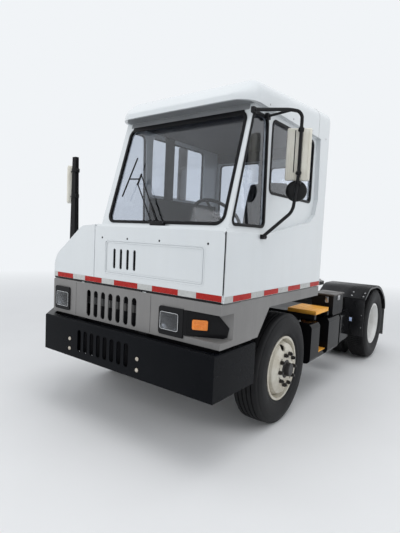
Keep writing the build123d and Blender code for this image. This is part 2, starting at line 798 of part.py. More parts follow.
def make_front_panel():
    """Bolted front panel with its pressed field and vent slots."""
    front = cab_front - 10
    panel = block(cab_right - clearance + panel_seam, panel_left, front, cab_front, front_low, panel_high)
    panel = fillet(panel.edges().filter_by(Axis.Y).group_by(Axis.Z)[-1].sort_by(Axis.X)[-1], 40)
    field = block(-89, 957, front - 1, front + 4, 1355, 1624)
    field = fillet(field.edges().filter_by(Axis.Y), 18)
    panel -= field
    plane = Plane(origin=(140, aft(front), 1478), x_dir=(0, 0, 1), z_dir=(0, 1, 0))
    slot = extrude(plane * SlotOverall(170, 30), amount=12, dir=(0, 1, 0))
    for step in range(4):
        panel -= Pos(-120 + 80 * step, 0, 0) * slot
    return panel


def make_glass():
    """Windscreen, quarter, side and rear panes, each just smaller than its opening."""
    panes = screen_prism(clearance, -12, 12 + glass_thickness)
    for window in (quarter_window, side_window):
        for left in (greenhouse_left - 18, cab_right + 12):
            panes += side_window_prism(window, left, left + glass_thickness, clearance)
    left, right, low, high = rear_window
    panes += rear_window_prism(left, right, low, high, cab_rear - 20, cab_rear - 20 + glass_thickness,
                               clearance)
    return panes


def make_rear_door():
    """Rear sliding door with its window cut out and hangers to the track."""
    front = cab_rear + door_gap
    door = block(door_right, door_left, front, front + door_thickness, door_low, door_high)
    left, right, low, high = door_window
    door -= rear_window_prism(left, right, low, high, front - 1, front + door_thickness + 1, 0)
    grip = block(door_right + 25, door_right + 45, front + door_thickness, front + door_thickness + 45,
                 1900, 2150)
    # Shoes that stand on the foot track and run below the top track.
    for across in (door_right + 60, door_left - 60):
        door += block(across - 30, across + 30, front, front + door_thickness,
                      door_high, door_high + 12 - clearance)
        door += block(across - 30, across + 30, front, front + door_thickness,
                      door_low - 12 + clearance, door_low)
    return door + grip


def make_door_glass():
    """Pane of the rear door."""
    left, right, low, high = door_window
    front = cab_rear + door_gap + 12
    return rear_window_prism(left, right, low, high, front, front + glass_thickness, clearance)


def make_seat():
    """Driver's seat as one closed form on its pedestal."""
    cushion = block(380, 880, 980, 1480, 1640, 1760)
    back = side_prism([(1440, 1700), (1560, 1700), (1680, 2330), (1600, 2330)], 390, 870)
    pedestal = block(480, 780, 1060, 1400, cab_floor + cab_wall, 1640)
    return cushion + back + pedestal


def make_dash():
    """Dashboard with the steering column."""
    dash = side_prism([(cab_front + cab_wall + 5, 1500), (cab_front + cab_wall + 5, 1690), (330, 1720),
                       (520, 1660), (520, 1560), (400, 1500)], cab_right + cab_wall + 1, cab_left - cab_wall - 2)
    dash += block(500, 760, cab_front + cab_wall + 5, 330, cab_floor + cab_wall, 1500)
    column = bar_between(28, (630, 470, 1600), (630, 700, 1850))
    return dash + column


def make_steering_wheel():
    """Steering wheel with three spokes, on the column's end."""
    centre = Vector(630, aft(708), 1859)
    tilt = Plane(origin=centre, x_dir=(1, 0, 0), z_dir=Vector(0, 230, 250))
    ring = Solid.make_torus(215, 14, tilt)
    wheel = Part() + ring
    wheel += tilt * Cylinder(45, 24)
    for turn in (90, 210, 330):
        wheel += tilt * Rot(0, 0, turn) * Pos(112, 0, 0) * Box(190, 26, 10)
    return wheel


def make_wiper():
    """Twin-arm wiper at the windscreen's foot."""
    wiper = block(390, 510, 118, 160, 1768, 1800)
    wiper += bar_between(6, (430, 140, 1790), (230, 232, 2210))
    wiper += bar_between(6, (475, 140, 1790), (275, 232, 2210))
    wiper += bar_between(9, (205, 235, 2180), (305, 235, 2240))
    wiper += bar_between(8, (235, 182, 1960), (250, 290, 2440))
    return wiper


def make_mirror_arm(radius=14):
    """Left mirror's tube arm from the eaves out and down to the shoulder."""
    path = [(1120, 420, 2640), (1270, 720, 2700), (1330, 790, 2690), (1325, 800, 2200),
            (1300, 790, 1930), (1160, 600, 1728)]
    arm = Part()
    for start, end in zip(path, path[1:]):
        arm += bar_between(radius, start, end)
    for point in path[1:-1]:
        arm += Pos(point[0], aft(point[1]), point[2]) * Sphere(radius)
    arm += bar_between(10, (1120, 640, 2650), path[1])
    arm += block(1100, 1128, 395, 445, 2615, 2660)
    arm += block(1100, 1128, 615, 665, 2625, 2670)
    arm += block(cab_left, 1165, 570, 640, 1700, 1736)
    return arm


def make_left_mirrors():
    """Left flat mirror and the round one below it."""
    normal = Vector(0.42, -0.9, 0).normalized()
    plane = Plane(origin=(0, aft(830), 2376), x_dir=(0.9, 0.42, 0), z_dir=normal)
    flat = plane * fillet(Box(190, 405, 50).edges().filter_by(Axis.Z), 14)
    across = mirror_reach - flat.bounding_box().max.X
    flat = Pos(across, 0, 0) * flat
    dish = Plane(origin=(1300, aft(835), 2094), x_dir=(0.9, 0.42, 0), z_dir=normal)
    mirror_round = dish * Cylinder(84, 36)
    stem = bar_between(12, (1310, 830, 2120), (1312, 800, 2120))
    clamp = bar_between(16, (1326, 798, 2376), (1312, 825, 2376))
    return flat + mirror_round + stem + clamp - make_mirror_arm(14 + clearance)


def make_right_mirror_post():
    """Tapered post on the right fender that carries the right mirror."""
    low = fascia_high
    foot = Pos(-1085, aft(500), low + 12) * Rectangle(90, 60)
    head = Pos(-1090, aft(500), 2480) * Rectangle(55, 40)
    post = loft([foot, head])
    return post + block(-1141, -1030, 440, 560, low, low + 12)


def make_right_mirror():
    """Right flat mirror on its bracket."""
    normal = Vector(-0.57, -0.82, 0).normalized()
    plane = Plane(origin=(0, aft(585), 2205), x_dir=(0.82, -0.57, 0), z_dir=normal)
    flat = plane * fillet(Box(190, 405, 45).edges().filter_by(Axis.Z), 14)
    flat = Pos(-mirror_reach - flat.bounding_box().min.X, 0, 0) * flat
    arms = Part()
    for height in (2070, 2340):
        arms += bar_between(9, (-1085, 500, height), (-1290, 570, height))
    return flat + arms - make_right_mirror_post()


def pocket_wall_plane():
    """Plane of the lamp pocket's back wall, from the headlamp to the side, facing outward."""
    run = fascia_left - lamp_outer
    back = pocket_back - fascia_front
    along = Vector(run, back, 0).normalized()
    return Plane(origin=(lamp_outer, aft(fascia_front), 0), x_dir=along, z_dir=Vector(back, -run, 0))


def make_lamp_bezels():
    """Black lamp surrounds: a square one at the right, and one that runs back along the pocket."""
    front = fascia_front
    left = block(lamp_inner, lamp_outer, front - bezel_thickness, front, lamp_low, lamp_high)
    left = fillet(left.edges().filter_by(Axis.Y).group_by(Axis.X)[0], 22)
    left -= block(lamp_left - 2, lamp_right + 2, front - 13, front - 4, lamp_base - 2, lamp_top + 2)
    # Wing outline along the pocket's wall: distance from the headlamp and height.
    wing = [(-6, pocket_low + 4), (300, pocket_low + 4), (328, pocket_low + 16), (340, 1046),
            (240, pocket_high - 4), (-6, pocket_high - 4)]
    plane = pocket_wall_plane()
    corners = [plane.from_local_coords((along, height, 0)) for along, height in wing]
    left += extrude(Face(Wire.make_polygon(corners)), amount=bezel_wing, dir=plane.z_dir)
    right = block(-right_bezel_outer, -right_bezel_inner, front - bezel_thickness, front,
                  right_bezel_low, right_bezel_high)
    right = fillet(right.edges().filter_by(Axis.Y), 22)
    right -= block(-right_lamp_outer - 2, -right_lamp_inner + 2, front - 13, front - 4,
                   lamp_base - 2, lamp_top + 2)
    return left + right


def make_headlamps():
    """Rectangular headlamps in their surrounds."""
    lens = Part()
    for inner, outer in ((lamp_left, lamp_right), (-right_lamp_outer, -right_lamp_inner)):
        lamp = block(inner, outer, fascia_front - 9, fascia_front - 4, lamp_base, lamp_top)
        lens += fillet(lamp.edges().filter_by(Axis.Y), 14)
    return lens


def make_marker_lamps():
    """Amber turn lamp on the pocket's wall."""
    plane = pocket_wall_plane()
    lens = plane * Pos(marker_along, marker_height, bezel_wing) * RectangleRounded(118, 76, 12)
    return extrude(lens, amount=12, dir=plane.z_dir)


def make_arch_liners():
    """Dark liners over the front wheels."""
    liner = block(600, fascia_left - side_panel_step - fascia_wall, 640, 1810, 1150, 1156)
    liner += block(600, 606, 640, 1810, 960, 1150)
    stay = block(frame_half_width, 600, 1600, 1640, 860, 900)
    stay += block(590, 600, 1600, 1640, 860, 1000)
    return both_sides(liner + stay)


def make_boom():
    """Lift boom: two arms joined by the pivot tube, the cylinder bar and the saddle."""
    arm = side_prism([(boom_pivot_at - 55, boom_low + 10), (plate_pivot_at - 320, boom_low),
                      (plate_pivot_at + 40, boom_low + 70), (plate_pivot_at + 40, boom_top),
                      (boom_pivot_at - 55, boom_pivot_height + 60)], boom_arm_inner, boom_arm_outer)
    upstand = side_prism([(plate_pivot_at - 100, boom_top - 20), (plate_pivot_at + 40, boom_top - 20),
                          (plate_pivot_at + 30, plate_pivot_height), (plate_pivot_at - 30, plate_pivot_height)],
                         boom_arm_inner, boom_arm_outer)
    upstand += cross_bar(33, boom_arm_inner, boom_arm_outer, plate_pivot_at, plate_pivot_height)
    arm += upstand
    arm += cross_bar(20, boom_arm_outer, boom_arm_outer + 46, plate_pivot_at, plate_pivot_height)
    arm -= cross_bar(30 + running, boom_arm_inner - 30, boom_arm_outer + 30, boom_pivot_at, boom_pivot_height)
    boom = both_sides(arm)
    boom += block(-boom_arm_inner, boom_arm_inner, plate_pivot_at - 90, plate_pivot_at + 30,
                  boom_low + 80, boom_top)
    boom += block(-boom_arm_inner, boom_arm_inner, boom_pivot_at + 60, boom_pivot_at + 130,
                  boom_low + 20, boom_top - 40)
    # Cross plate behind the rods' eyes, with the lugs and pins that they push on.
    plate_front = cylinder_eye_at + cylinder_eye_radius + 12
    lug_low = cylinder_eye_height - cylinder_pin - 8
    lug_high = cylinder_eye_height + cylinder_pin + 8
    boom += block(-boom_arm_inner, boom_arm_inner, plate_front, plate_front + 16, boom_low + 35, lug_high)
    for side in (-1, 1):
        for lug in (cylinder_across - lug_near, cylinder_across + lug_near - lug_thickness):
            boom += block(side * lug, side * (lug + lug_thickness), cylinder_eye_at - 30, plate_front,
                          lug_low, lug_high)
        boom += cross_bar(cylinder_pin, side * (cylinder_across - lug_near),
                          side * (cylinder_across + lug_near), cylinder_eye_at, cylinder_eye_height)
    return boom


def make_plate():
    """Fifth wheel plate with its throat, jaws, ribs and pivot lugs."""
    low = plate_top - plate_skirt
    corner = 150
    outline = [(-plate_half_width, plate_pivot_at - plate_half_length + corner),
               (-plate_half_width + corner, plate_pivot_at - plate_half_length),
               (plate_half_width - corner, plate_pivot_at - plate_half_length),
               (plate_half_width, plate_pivot_at - plate_half_length + corner),
               (plate_half_width, plate_pivot_at + 120), (332, plate_pivot_at + 300),
               (300, plate_pivot_at + plate_half_length),
               (140, plate_pivot_at + plate_half_length), (34, plate_pivot_at + 70),
               (-34, plate_pivot_at + 70), (-140, plate_pivot_at + plate_half_length),
               (-300, plate_pivot_at + plate_half_length), (-332, plate_pivot_at + 300),
               (-plate_half_width, plate_pivot_at + 120)]
    plate = plan_prism(outline, plate_top - 24, plate_top)
    inner = offset(Face(Wire.make_polygon([(across, aft(distance), low) for across, distance in outline])),
                   amount=-14, kind=Kind.INTERSECTION)
    plate += plan_prism(outline, low, plate_top - 24) - extrude(inner, amount=plate_skirt, dir=(0, 0, 1))
    plate += upright_bar(70, 0, plate_pivot_at, low, plate_top - 20)
    plate -= upright_bar(kingpin_bore, 0, plate_pivot_at, low - 5, plate_top + 5)
    for side in (-1, 1):
        near = side * (boom_arm_outer + 8)
        far = side * (boom_arm_outer + 46)
        lug = block(near, far, plate_pivot_at - 45, plate_pivot_at + 45, plate_pivot_height, plate_top - 20)
        lug += cross_bar(45, near, far, plate_pivot_at, plate_pivot_height)
        lug -= cross_bar(20 + running, side * boom_arm_outer, side * (boom_arm_outer + 60),
                         plate_pivot_at, plate_pivot_height)
        plate += lug
    return plate


def cylinder_length():
    """Length between a lift cylinder's foot and its rod's eye at rest."""
    return hypot(cylinder_eye_at - cylinder_foot_at, cylinder_eye_height - cylinder_foot_height)


def place_on_cylinder(shape, side):
    """Put a shape made along +Z at the origin on a lift cylinder's line."""
    angle = degrees(atan2(cylinder_eye_height - cylinder_foot_height, cylinder_eye_at - cylinder_foot_at))
    return Pos(side * cylinder_across, aft(cylinder_foot_at), cylinder_foot_height) * Rot(
        angle - 90, 0, 0) * shape


def make_lift_barrels():
    """Barrels of the two lift cylinders."""
    length = barrel_end - barrel_start
    tube = Pos(0, 0, barrel_start + length / 2) * Cylinder(barrel_radius, length)
    tube += Rot(0, 90, 0) * Cylinder(cylinder_eye_radius, cylinder_boss)
    tube += Pos(0, 0, barrel_start / 2 + 10) * Box(40, 40, barrel_start)
    tube -= Rot(0, 90, 0) * Cylinder(cylinder_pin + running, cylinder_boss + 2)
    tube -= Pos(0, 0, barrel_start + 12 + length / 2) * Cylinder(rod_radius + running, length)
    return place_on_cylinder(tube, -1) + place_on_cylinder(tube, 1)


def make_lift_rods():
    """Rods of the two lift cylinders, each with its open eye."""
    length = cylinder_length()
    start = barrel_start + 20
    rod = Pos(0, 0, (start + length) / 2) * Cylinder(rod_radius, length - start)
    rod += Pos(0, 0, length) * Rot(0, 90, 0) * Cylinder(cylinder_eye_radius, cylinder_boss)
    rod -= Pos(0, 0, length) * Rot(0, 90, 0) * Cylinder(cylinder_pin + cylinder_eye_play, cylinder_boss + 20)
    return place_on_cylinder(rod, -1) + place_on_cylinder(rod, 1)


def save_wheels():
    """Place and write the four wheel sets and the two knuckles."""
    tyre = make_tyre()
    half_width = tyre_width / 2
    front_middle = front_tyre_outer - half_width
    outer_middle = rear_tyre_outer - half_width
    inner_middle = outer_middle - dual_spacing
    fork_face = kingpin_across + 68
    front_rim = make_front_rim()
    front_hub = make_front_hub(fork_face + 6 - front_middle)
    rear_at = front_axle_at + wheelbase
    disc_face = (outer_middle + inner_middle) / 2
    for side, name in ((1, "left"), (-1, "right")):
        turn = Rot(0, 0, 0) if side > 0 else Rot(0, 0, 180)
        front_place = Pos(side * front_middle, aft(front_axle_at), tyre_radius) * turn
        save(front_place * tyre, "front_tyre_" + name)
        save(front_place * front_rim, "front_wheel_" + name)
        save(front_place * front_hub, "front_hub_" + name)
        outer_place = Pos(side * outer_middle, aft(rear_at), tyre_radius) * turn
        inner_place = Pos(side * inner_middle, aft(rear_at), tyre_radius) * turn
        save(outer_place * tyre + inner_place * tyre, "rear_tyres_" + name)
        save(outer_place * make_rear_pair(outer_middle, inner_middle, disc_face), "rear_wheels_" + name)
    knuckle = make_knuckle()
    save(knuckle, "knuckle_left")
    save(mirror(knuckle, about=Plane.YZ), "knuckle_right")


def make_rear_pair(outer_middle, inner_middle, disc_face):
    """Twin rims on one hub, about the outer rim's middle."""
    face = disc_face - outer_middle
    wheel = Part()
    for middle, way in ((0, 1), (inner_middle - outer_middle, -1)):
        wheel += rim_barrel(middle)
        lip = middle - way * 40
        wheel += wheel_section([(lip, rim_well), (lip - way * 20, rim_well), (face + way * 34, 228), (face, 180),
                                (face, 60), (face + way * 12, 60), (face + way * 12, 172),
                                (face + way * 42, 218)])
    wheel -= Part() + hand_holes(face)
    bore = spindle_radius + running
    inner_end = 768 - outer_middle
    wheel += wheel_section([(inner_end, bore), (1020 - outer_middle, bore), (1020 - outer_middle, 0),
                            (1048 - outer_middle, 0), (1044 - outer_middle, 70), (face + 12, 84),
                            (face + 12, 178), (face - 12, 178), (face - 12, 92), (inner_end, 92)])
    nut = extrude(hexagon_at(face + 12), amount=nut_height, dir=(1, 0, 0))
    return wheel + stud_pattern(nut)


def main():
    """Build every node and write its file."""
    os.makedirs("parts", exist_ok=True)
    fender = make_rear_fender()
    flap = make_mud_flap()
    nodes = {
        "frame": make_frame(),
        "cab_posts": make_cab_posts(),
        "front_bumper": make_bumper(),
        "front_fascia": make_fascia(),
        "engine": make_engine(),
        "radiator": make_radiator(),
        "front_axle": make_front_axle(),
        "front_springs": make_front_springs(),
        "drive_shaft": make_drive_shaft(),
        "rear_axle": make_rear_axle(),
        "left_tank": make_left_tank(),
        "right_tank": make_right_tank(),
        "oil_tank": make_oil_tank(),
        "boarding_treads": make_treads(),
        "rear_deck": make_deck(),
        "battery_box": make_battery_box(),
        "rear_fenders": both_sides(fender),
        "mud_flaps": both_sides(flap),
        "tail_lamps": make_tail_lamps(),
        "exhaust": make_exhaust(),
        "arch_liners": make_arch_liners(),
        "lamp_bezels": make_lamp_bezels(),
        "headlamps": make_headlamps(),
        "marker_lamps": make_marker_lamps(),
        "right_mirror_post": make_right_mirror_post(),
        "right_mirror": make_right_mirror(),
        "cab_shell": make_cab_shell(),
        "roof_cap": make_roof(),
        "engine_hood": make_hood(),
        "front_panel": make_front_panel(),
        "cab_glass": make_glass(),
        "driver_seat": make_seat(),
        "dashboard": make_dash(),
        "steering_wheel": make_steering_wheel(),
        "wiper": make_wiper(),
        "left_mirror_arm": make_mirror_arm(),
        "left_mirrors": make_left_mirrors(),
        "rear_door": make_rear_door(),
        "rear_door_glass": make_door_glass(),
        "lift_boom": make_boom(),
        "fifth_wheel_plate": make_plate(),
        "lift_barrels": make_lift_barrels(),
        "lift_rods": make_lift_rods(),
    }
    for node, shape in nodes.items():
        save(shape, node)
    save_wheels()


main()
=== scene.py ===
"""Dresses the terminal tractor: finishes for its fixed frame, and its fine pieces."""
from __future__ import annotations

import json
import logging
import math
from dataclasses import dataclass
from enum import Enum
from itertools import product
from typing import Callable, Iterable, Sequence

import bmesh
import bpy
from mathutils import Matrix, Vector

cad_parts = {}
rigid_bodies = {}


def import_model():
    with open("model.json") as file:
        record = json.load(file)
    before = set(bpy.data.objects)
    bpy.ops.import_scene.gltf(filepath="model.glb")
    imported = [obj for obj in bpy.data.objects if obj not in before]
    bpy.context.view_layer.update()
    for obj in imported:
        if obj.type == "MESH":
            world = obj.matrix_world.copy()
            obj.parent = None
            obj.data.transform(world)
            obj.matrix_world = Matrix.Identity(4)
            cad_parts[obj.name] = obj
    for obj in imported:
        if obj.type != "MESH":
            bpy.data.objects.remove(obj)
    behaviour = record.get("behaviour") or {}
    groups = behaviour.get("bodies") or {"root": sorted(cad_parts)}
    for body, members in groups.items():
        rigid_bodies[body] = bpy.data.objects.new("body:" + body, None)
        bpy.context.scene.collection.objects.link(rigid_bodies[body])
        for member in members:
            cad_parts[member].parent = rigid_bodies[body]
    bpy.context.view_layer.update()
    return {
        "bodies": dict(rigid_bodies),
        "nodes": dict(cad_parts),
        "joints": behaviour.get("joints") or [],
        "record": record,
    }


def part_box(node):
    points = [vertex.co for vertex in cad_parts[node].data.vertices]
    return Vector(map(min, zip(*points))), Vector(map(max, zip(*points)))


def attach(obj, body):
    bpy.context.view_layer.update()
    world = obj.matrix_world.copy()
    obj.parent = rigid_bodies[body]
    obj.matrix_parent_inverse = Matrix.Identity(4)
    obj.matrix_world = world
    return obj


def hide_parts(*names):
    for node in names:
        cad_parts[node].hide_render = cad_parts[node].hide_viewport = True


LOG = logging.getLogger("tractor")
Colour = tuple[float, float, float]
Outline = Sequence[tuple[float, float]]
Rows = tuple[tuple[float, ...], ...]  # A table of sizes; each field's method names its columns.
Sockets = bpy.types.NodeOutputs
HALF_LENGTH = 2.415
AXLE_HEIGHT = 0.512
FRONT_AXLE = 1.227
REAR_AXLE = 4.173
CAB_LEFT = 1.141
CAB_RIGHT = -0.240
CAB_FLOOR = 1.2785
PANEL_FACE = 0.095
DRIVER = 0.630
QUARTER = math.pi / 2
UP = Vector((0, 0, 1))
LEFT = Vector((1, 0, 0))
FORWARD = Vector((0, -1, 0))


def spot(across: float, behind: float, height: float) -> Vector:
    """Place a point by its distance behind the bumper's face."""
    return Vector((across, behind - HALF_LENGTH, height))


def facing(origin: Vector, normal: Vector, upright: Vector = UP) -> Matrix:
    """Matrix whose local Z is the normal and whose local Y leans to upright.

    Args:
        origin: The place of the local origin.
        normal: The direction that local Z takes.
        upright: The direction that local Y comes nearest to.

    Returns:
        The matrix from local to vehicle places.
    """
    axis_z = normal.normalized()
    axis_x = upright.cross(axis_z)
    axis_x = axis_x.normalized() if axis_x.length > 1e-6 else Vector((1, 0, 0))
    axis_y = axis_z.cross(axis_x)
    turned = Matrix((axis_x, axis_y, axis_z)).transposed().to_4x4()
    return Matrix.Translation(origin) @ turned


def turns(angle: float, steps: int) -> list[float]:
    """Split an angle into even steps, with both ends."""
    return [angle * step / steps for step in range(steps + 1)]


def shifted(place: Matrix, across: float, up: float, out: float) -> Matrix:
    """Move a place along its own axes."""
    return place @ Matrix.Translation((across, up, out))


def ahead(behind: float) -> Matrix:
    """Upright plane that faces forward: local X goes to the left and local Y up."""
    return facing(spot(0, behind, 0), FORWARD)


def windscreen() -> Matrix:
    """Plane of the windscreen: local Y runs up the glass and local Z looks out.

    Returns:
        The matrix from the plane to the vehicle.
    """
    foot = spot(0, 0.172, 1.768)
    slope = spot(0, 0.450, 2.700) - foot
    return facing(foot, LEFT.cross(slope), slope)


def grown(corners: Outline, by: float) -> list[tuple[float, float]]:
    """Move each side of an outline outward by the same distance.

    Args:
        corners: The outline's corners, either way round.
        by: The distance, inward if negative.

    Returns:
        The new corners.
    """
    points = [Vector(corner) for corner in corners]
    area = sum(a.x * b.y - b.x * a.y for a, b in zip(points, points[1:] + points[:1]))
    turn = 1 if area > 0 else -1
    result = []
    for before, here, after in zip(points[-1:] + points[:-1], points, points[1:] + points[:1]):
        into = (here - before).normalized()
        out = (after - here).normalized()
        first = Vector((into.y, -into.x)) * turn
        second = Vector((out.y, -out.x)) * turn
        middle = (first + second).normalized()
        moved = here + middle * (by / middle.dot(first))
        result.append((moved.x, moved.y))
    return result


def rounded(rows: Sequence[tuple[float, float, float]], steps: int = 8) -> list[tuple[float, float]]:
    """Round the corners of an open path, each by its own radius.

    Args:
        rows: Distance behind the bumper, height and corner radius of each corner.
        steps: Sides of each round corner.

    Returns:
        The path's points.
    """
    points: list[tuple[float, float]] = []
    for number, (behind, height, radius) in enumerate(rows):
        here = Vector((behind, height))
        if not radius:
            points.append((behind, height))
            continue
        into = (Vector(rows[number - 1][:2]) - here).normalized()
        out = (Vector(rows[number + 1][:2]) - here).normalized()
        half = into.angle(out) / 2
        middle = here + (into + out).normalized() * (radius / math.sin(half))
        first = here + into * (radius / math.tan(half)) - middle
        last = here + out * (radius / math.tan(half)) - middle
        for share in turns(1.0, steps):
            arm = first * (1 - share) + last * share
            arm = middle + arm.normalized() * radius
            points.append((arm.x, arm.y))
    return points


def rectangle(left: float, right: float, low: float, high: float) -> list[tuple[float, float]]:
    """Corners of an upright rectangle, anticlockwise."""
    return [(left, low), (right, low), (right, high), (left, high)]


class Effect(Enum):
    """Shader groups that several finishes share."""

    MOTTLE = "mottled tone"
    GRIME = "road grime"
    STREAKS = "rain streaks"
    FLECKS = "fine flecks"
    GRAIN = "surface grain"
    WEAVE = "cloth weave"
    RIDGES = "moulded ridges"


class Graph:
    """A node tree under work, with short calls for its nodes and links."""

    def __init__(self, tree: bpy.types.NodeTree) -> None:
        """Start on a tree."""
        self.tree = tree

    def add(self, kind: str, inputs: dict[str | int, object] | None = None, **settings: object) -> bpy.types.Node:
        """Add a node, set its fields, and fill or link its inputs.

        Args:
            kind: Blender's name of the node type.
            inputs: Socket names or numbers with a value or an output socket.
            **settings: Fields of the node.

        Returns:
            The new node.
        """
        node = self.tree.nodes.new(kind)
        for name, value in settings.items():
            setattr(node, name, value)
        for key, value in (inputs or {}).items():
            if isinstance(value, bpy.types.NodeSocket):
                self.tree.links.new(value, node.inputs[key])
            else:
                node.inputs[key].default_value = value
        return node

    def blend(self, mask: object, first: object, second: object) -> bpy.types.NodeSocket:
        """Mix two colours by a mask.

        Args:
            mask: The share of the second colour, a value or a socket.
            first: A colour or a socket.
            second: A colour or a socket.

        Returns:
            The mixed colour.
        """
        node = self.add("ShaderNodeMix", data_type="RGBA")
        for place, value in ((0, mask), (6, first), (7, second)):
            if isinstance(value, bpy.types.NodeSocket):
                self.tree.links.new(value, node.inputs[place])
            else:
                node.inputs[place].default_value = value if place == 0 else (*value, 1.0)
        return node.outputs[2]

    def noise(self, place: object, scale: object, detail: float, rough: float = 0.5) -> bpy.types.NodeSocket:
        """Read a noise texture."""
        return self.add("ShaderNodeTexNoise", {"Vector": place, "Scale": scale, "Detail": detail,
                                               "Roughness": rough}).outputs["Fac"]

    def sum(self, operation: str, first: object, second: object) -> bpy.types.NodeSocket:
        """One step of arithmetic."""
        return self.add("ShaderNodeMath", {0: first, 1: second}, operation=operation).outputs[0]

    def span(self, value: object, low: float, high: float, start: float, end: float) -> bpy.types.NodeSocket:
        """Carry a value from one span to another, held at its ends."""
        return self.add("ShaderNodeMapRange", {0: value, 1: low, 2: high, 3: start, 4: end}).outputs[0]


def mottle(graph: Graph, given: Sockets) -> bpy.types.NodeSocket:
    """Soft patches of tone."""
    noise = graph.noise(given["Place"], given["Scale"], 6.0, 0.6)
    return graph.span(noise, given["Low"], given["High"], 0.0, 1.0)


def grime(graph: Graph, given: Sockets) -> bpy.types.NodeSocket:
    """Patches of dirt that thin out with the height.

    Args:
        graph: The group's graph.
        given: The group's inputs.

    Returns:
        The mask.
    """
    height = graph.add("ShaderNodeSeparateXYZ", {0: given["Place"]}).outputs["Z"]
    low = graph.span(height, given["Top"], 0.0, 0.0, 1.0)
    patches = graph.span(graph.noise(given["Place"], given["Scale"], 8.0, 0.68), 0.38, 0.75, 0.0, 1.0)
    share = graph.sum("ADD", graph.sum("MULTIPLY", low, 0.7), 0.15)
    return graph.sum("MULTIPLY", graph.sum("MULTIPLY", share, patches), given["Amount"])


def streaks(graph: Graph, given: Sockets) -> bpy.types.NodeSocket:
    """Slim upright runs that rain leaves.

    Args:
        graph: The group's graph.
        given: The group's inputs.

    Returns:
        The mask.
    """
    slim = graph.add("ShaderNodeMapping", {"Vector": given["Place"], "Scale": (1.0, 1.0, 0.06)}).outputs[0]
    lines = graph.span(graph.noise(slim, given["Scale"], 4.0, 0.55), 0.5, 0.8, 0.0, 1.0)
    return graph.sum("MULTIPLY", lines, given["Amount"])


def flecks(graph: Graph, given: Sockets) -> bpy.types.NodeSocket:
    """Small specks that gather in patches.

    Args:
        graph: The group's graph.
        given: The group's inputs.

    Returns:
        The mask.
    """
    cells = graph.add("ShaderNodeTexVoronoi", {"Vector": given["Place"], "Scale": given["Scale"]})
    near = graph.sum("LESS_THAN", cells.outputs["Distance"], given["Size"])
    patch = graph.span(graph.noise(given["Place"], 7.0, 3.0), 0.42, 0.62, 0.0, 1.0)
    return graph.sum("MULTIPLY", graph.sum("MULTIPLY", near, patch), given["Amount"])


def grain(graph: Graph, given: Sockets) -> bpy.types.NodeSocket:
    """Fine unevenness of a coat or a casting."""
    return graph.noise(given["Place"], given["Scale"], 5.0, 0.6)


def weave(graph: Graph, given: Sockets) -> bpy.types.NodeSocket:
    """Crossed threads of cloth.

    Args:
        graph: The group's graph.
        given: The group's inputs.

    Returns:
        The height.
    """
    bands = [graph.add("ShaderNodeTexWave", {"Vector": given["Place"], "Scale": given["Scale"], "Distortion": 0.6},
                       bands_direction=direction).outputs["Fac"] for direction in ("X", "Z")]
    return graph.sum("MAXIMUM", bands[0], bands[1])


def ridges(graph: Graph, given: Sockets) -> bpy.types.NodeSocket:
    """Upright ridges of a moulded lens."""
    return graph.add("ShaderNodeTexWave", {"Vector": given["Place"], "Scale": given["Scale"]},
                     bands_direction="X").outputs["Fac"]


EFFECTS: dict[Effect, tuple[Callable[[Graph, Sockets], bpy.types.NodeSocket], dict[str, float]]] = {
    Effect.MOTTLE: (mottle, {"Scale": 3.0, "Low": 0.35, "High": 0.7}),
    Effect.GRIME: (grime, {"Top": 1.0, "Amount": 0.4, "Scale": 6.0}),
    Effect.STREAKS: (streaks, {"Scale": 9.0, "Amount": 0.2}),
    Effect.FLECKS: (flecks, {"Scale": 90.0, "Size": 0.18, "Amount": 0.5}),
    Effect.GRAIN: (grain, {"Scale": 300.0}),
    Effect.WEAVE: (weave, {"Scale": 260.0}),
    Effect.RIDGES: (ridges, {"Scale": 40.0})}


def build_effects() -> None:
    """Build every shared effect's group once."""
    for effect, (make, inputs) in EFFECTS.items():
        tree = bpy.data.node_groups.new(effect.value, "ShaderNodeTree")
        tree.interface.new_socket("Place", in_out="INPUT", socket_type="NodeSocketVector")
        for name, value in inputs.items():
            socket = tree.interface.new_socket(name, in_out="INPUT", socket_type="NodeSocketFloat")
            socket.default_value = value
        tree.interface.new_socket("Value", in_out="OUTPUT", socket_type="NodeSocketFloat")
        graph = Graph(tree)
        result = make(graph, graph.add("NodeGroupInput").outputs)
        tree.links.new(result, graph.add("NodeGroupOutput").inputs["Value"])


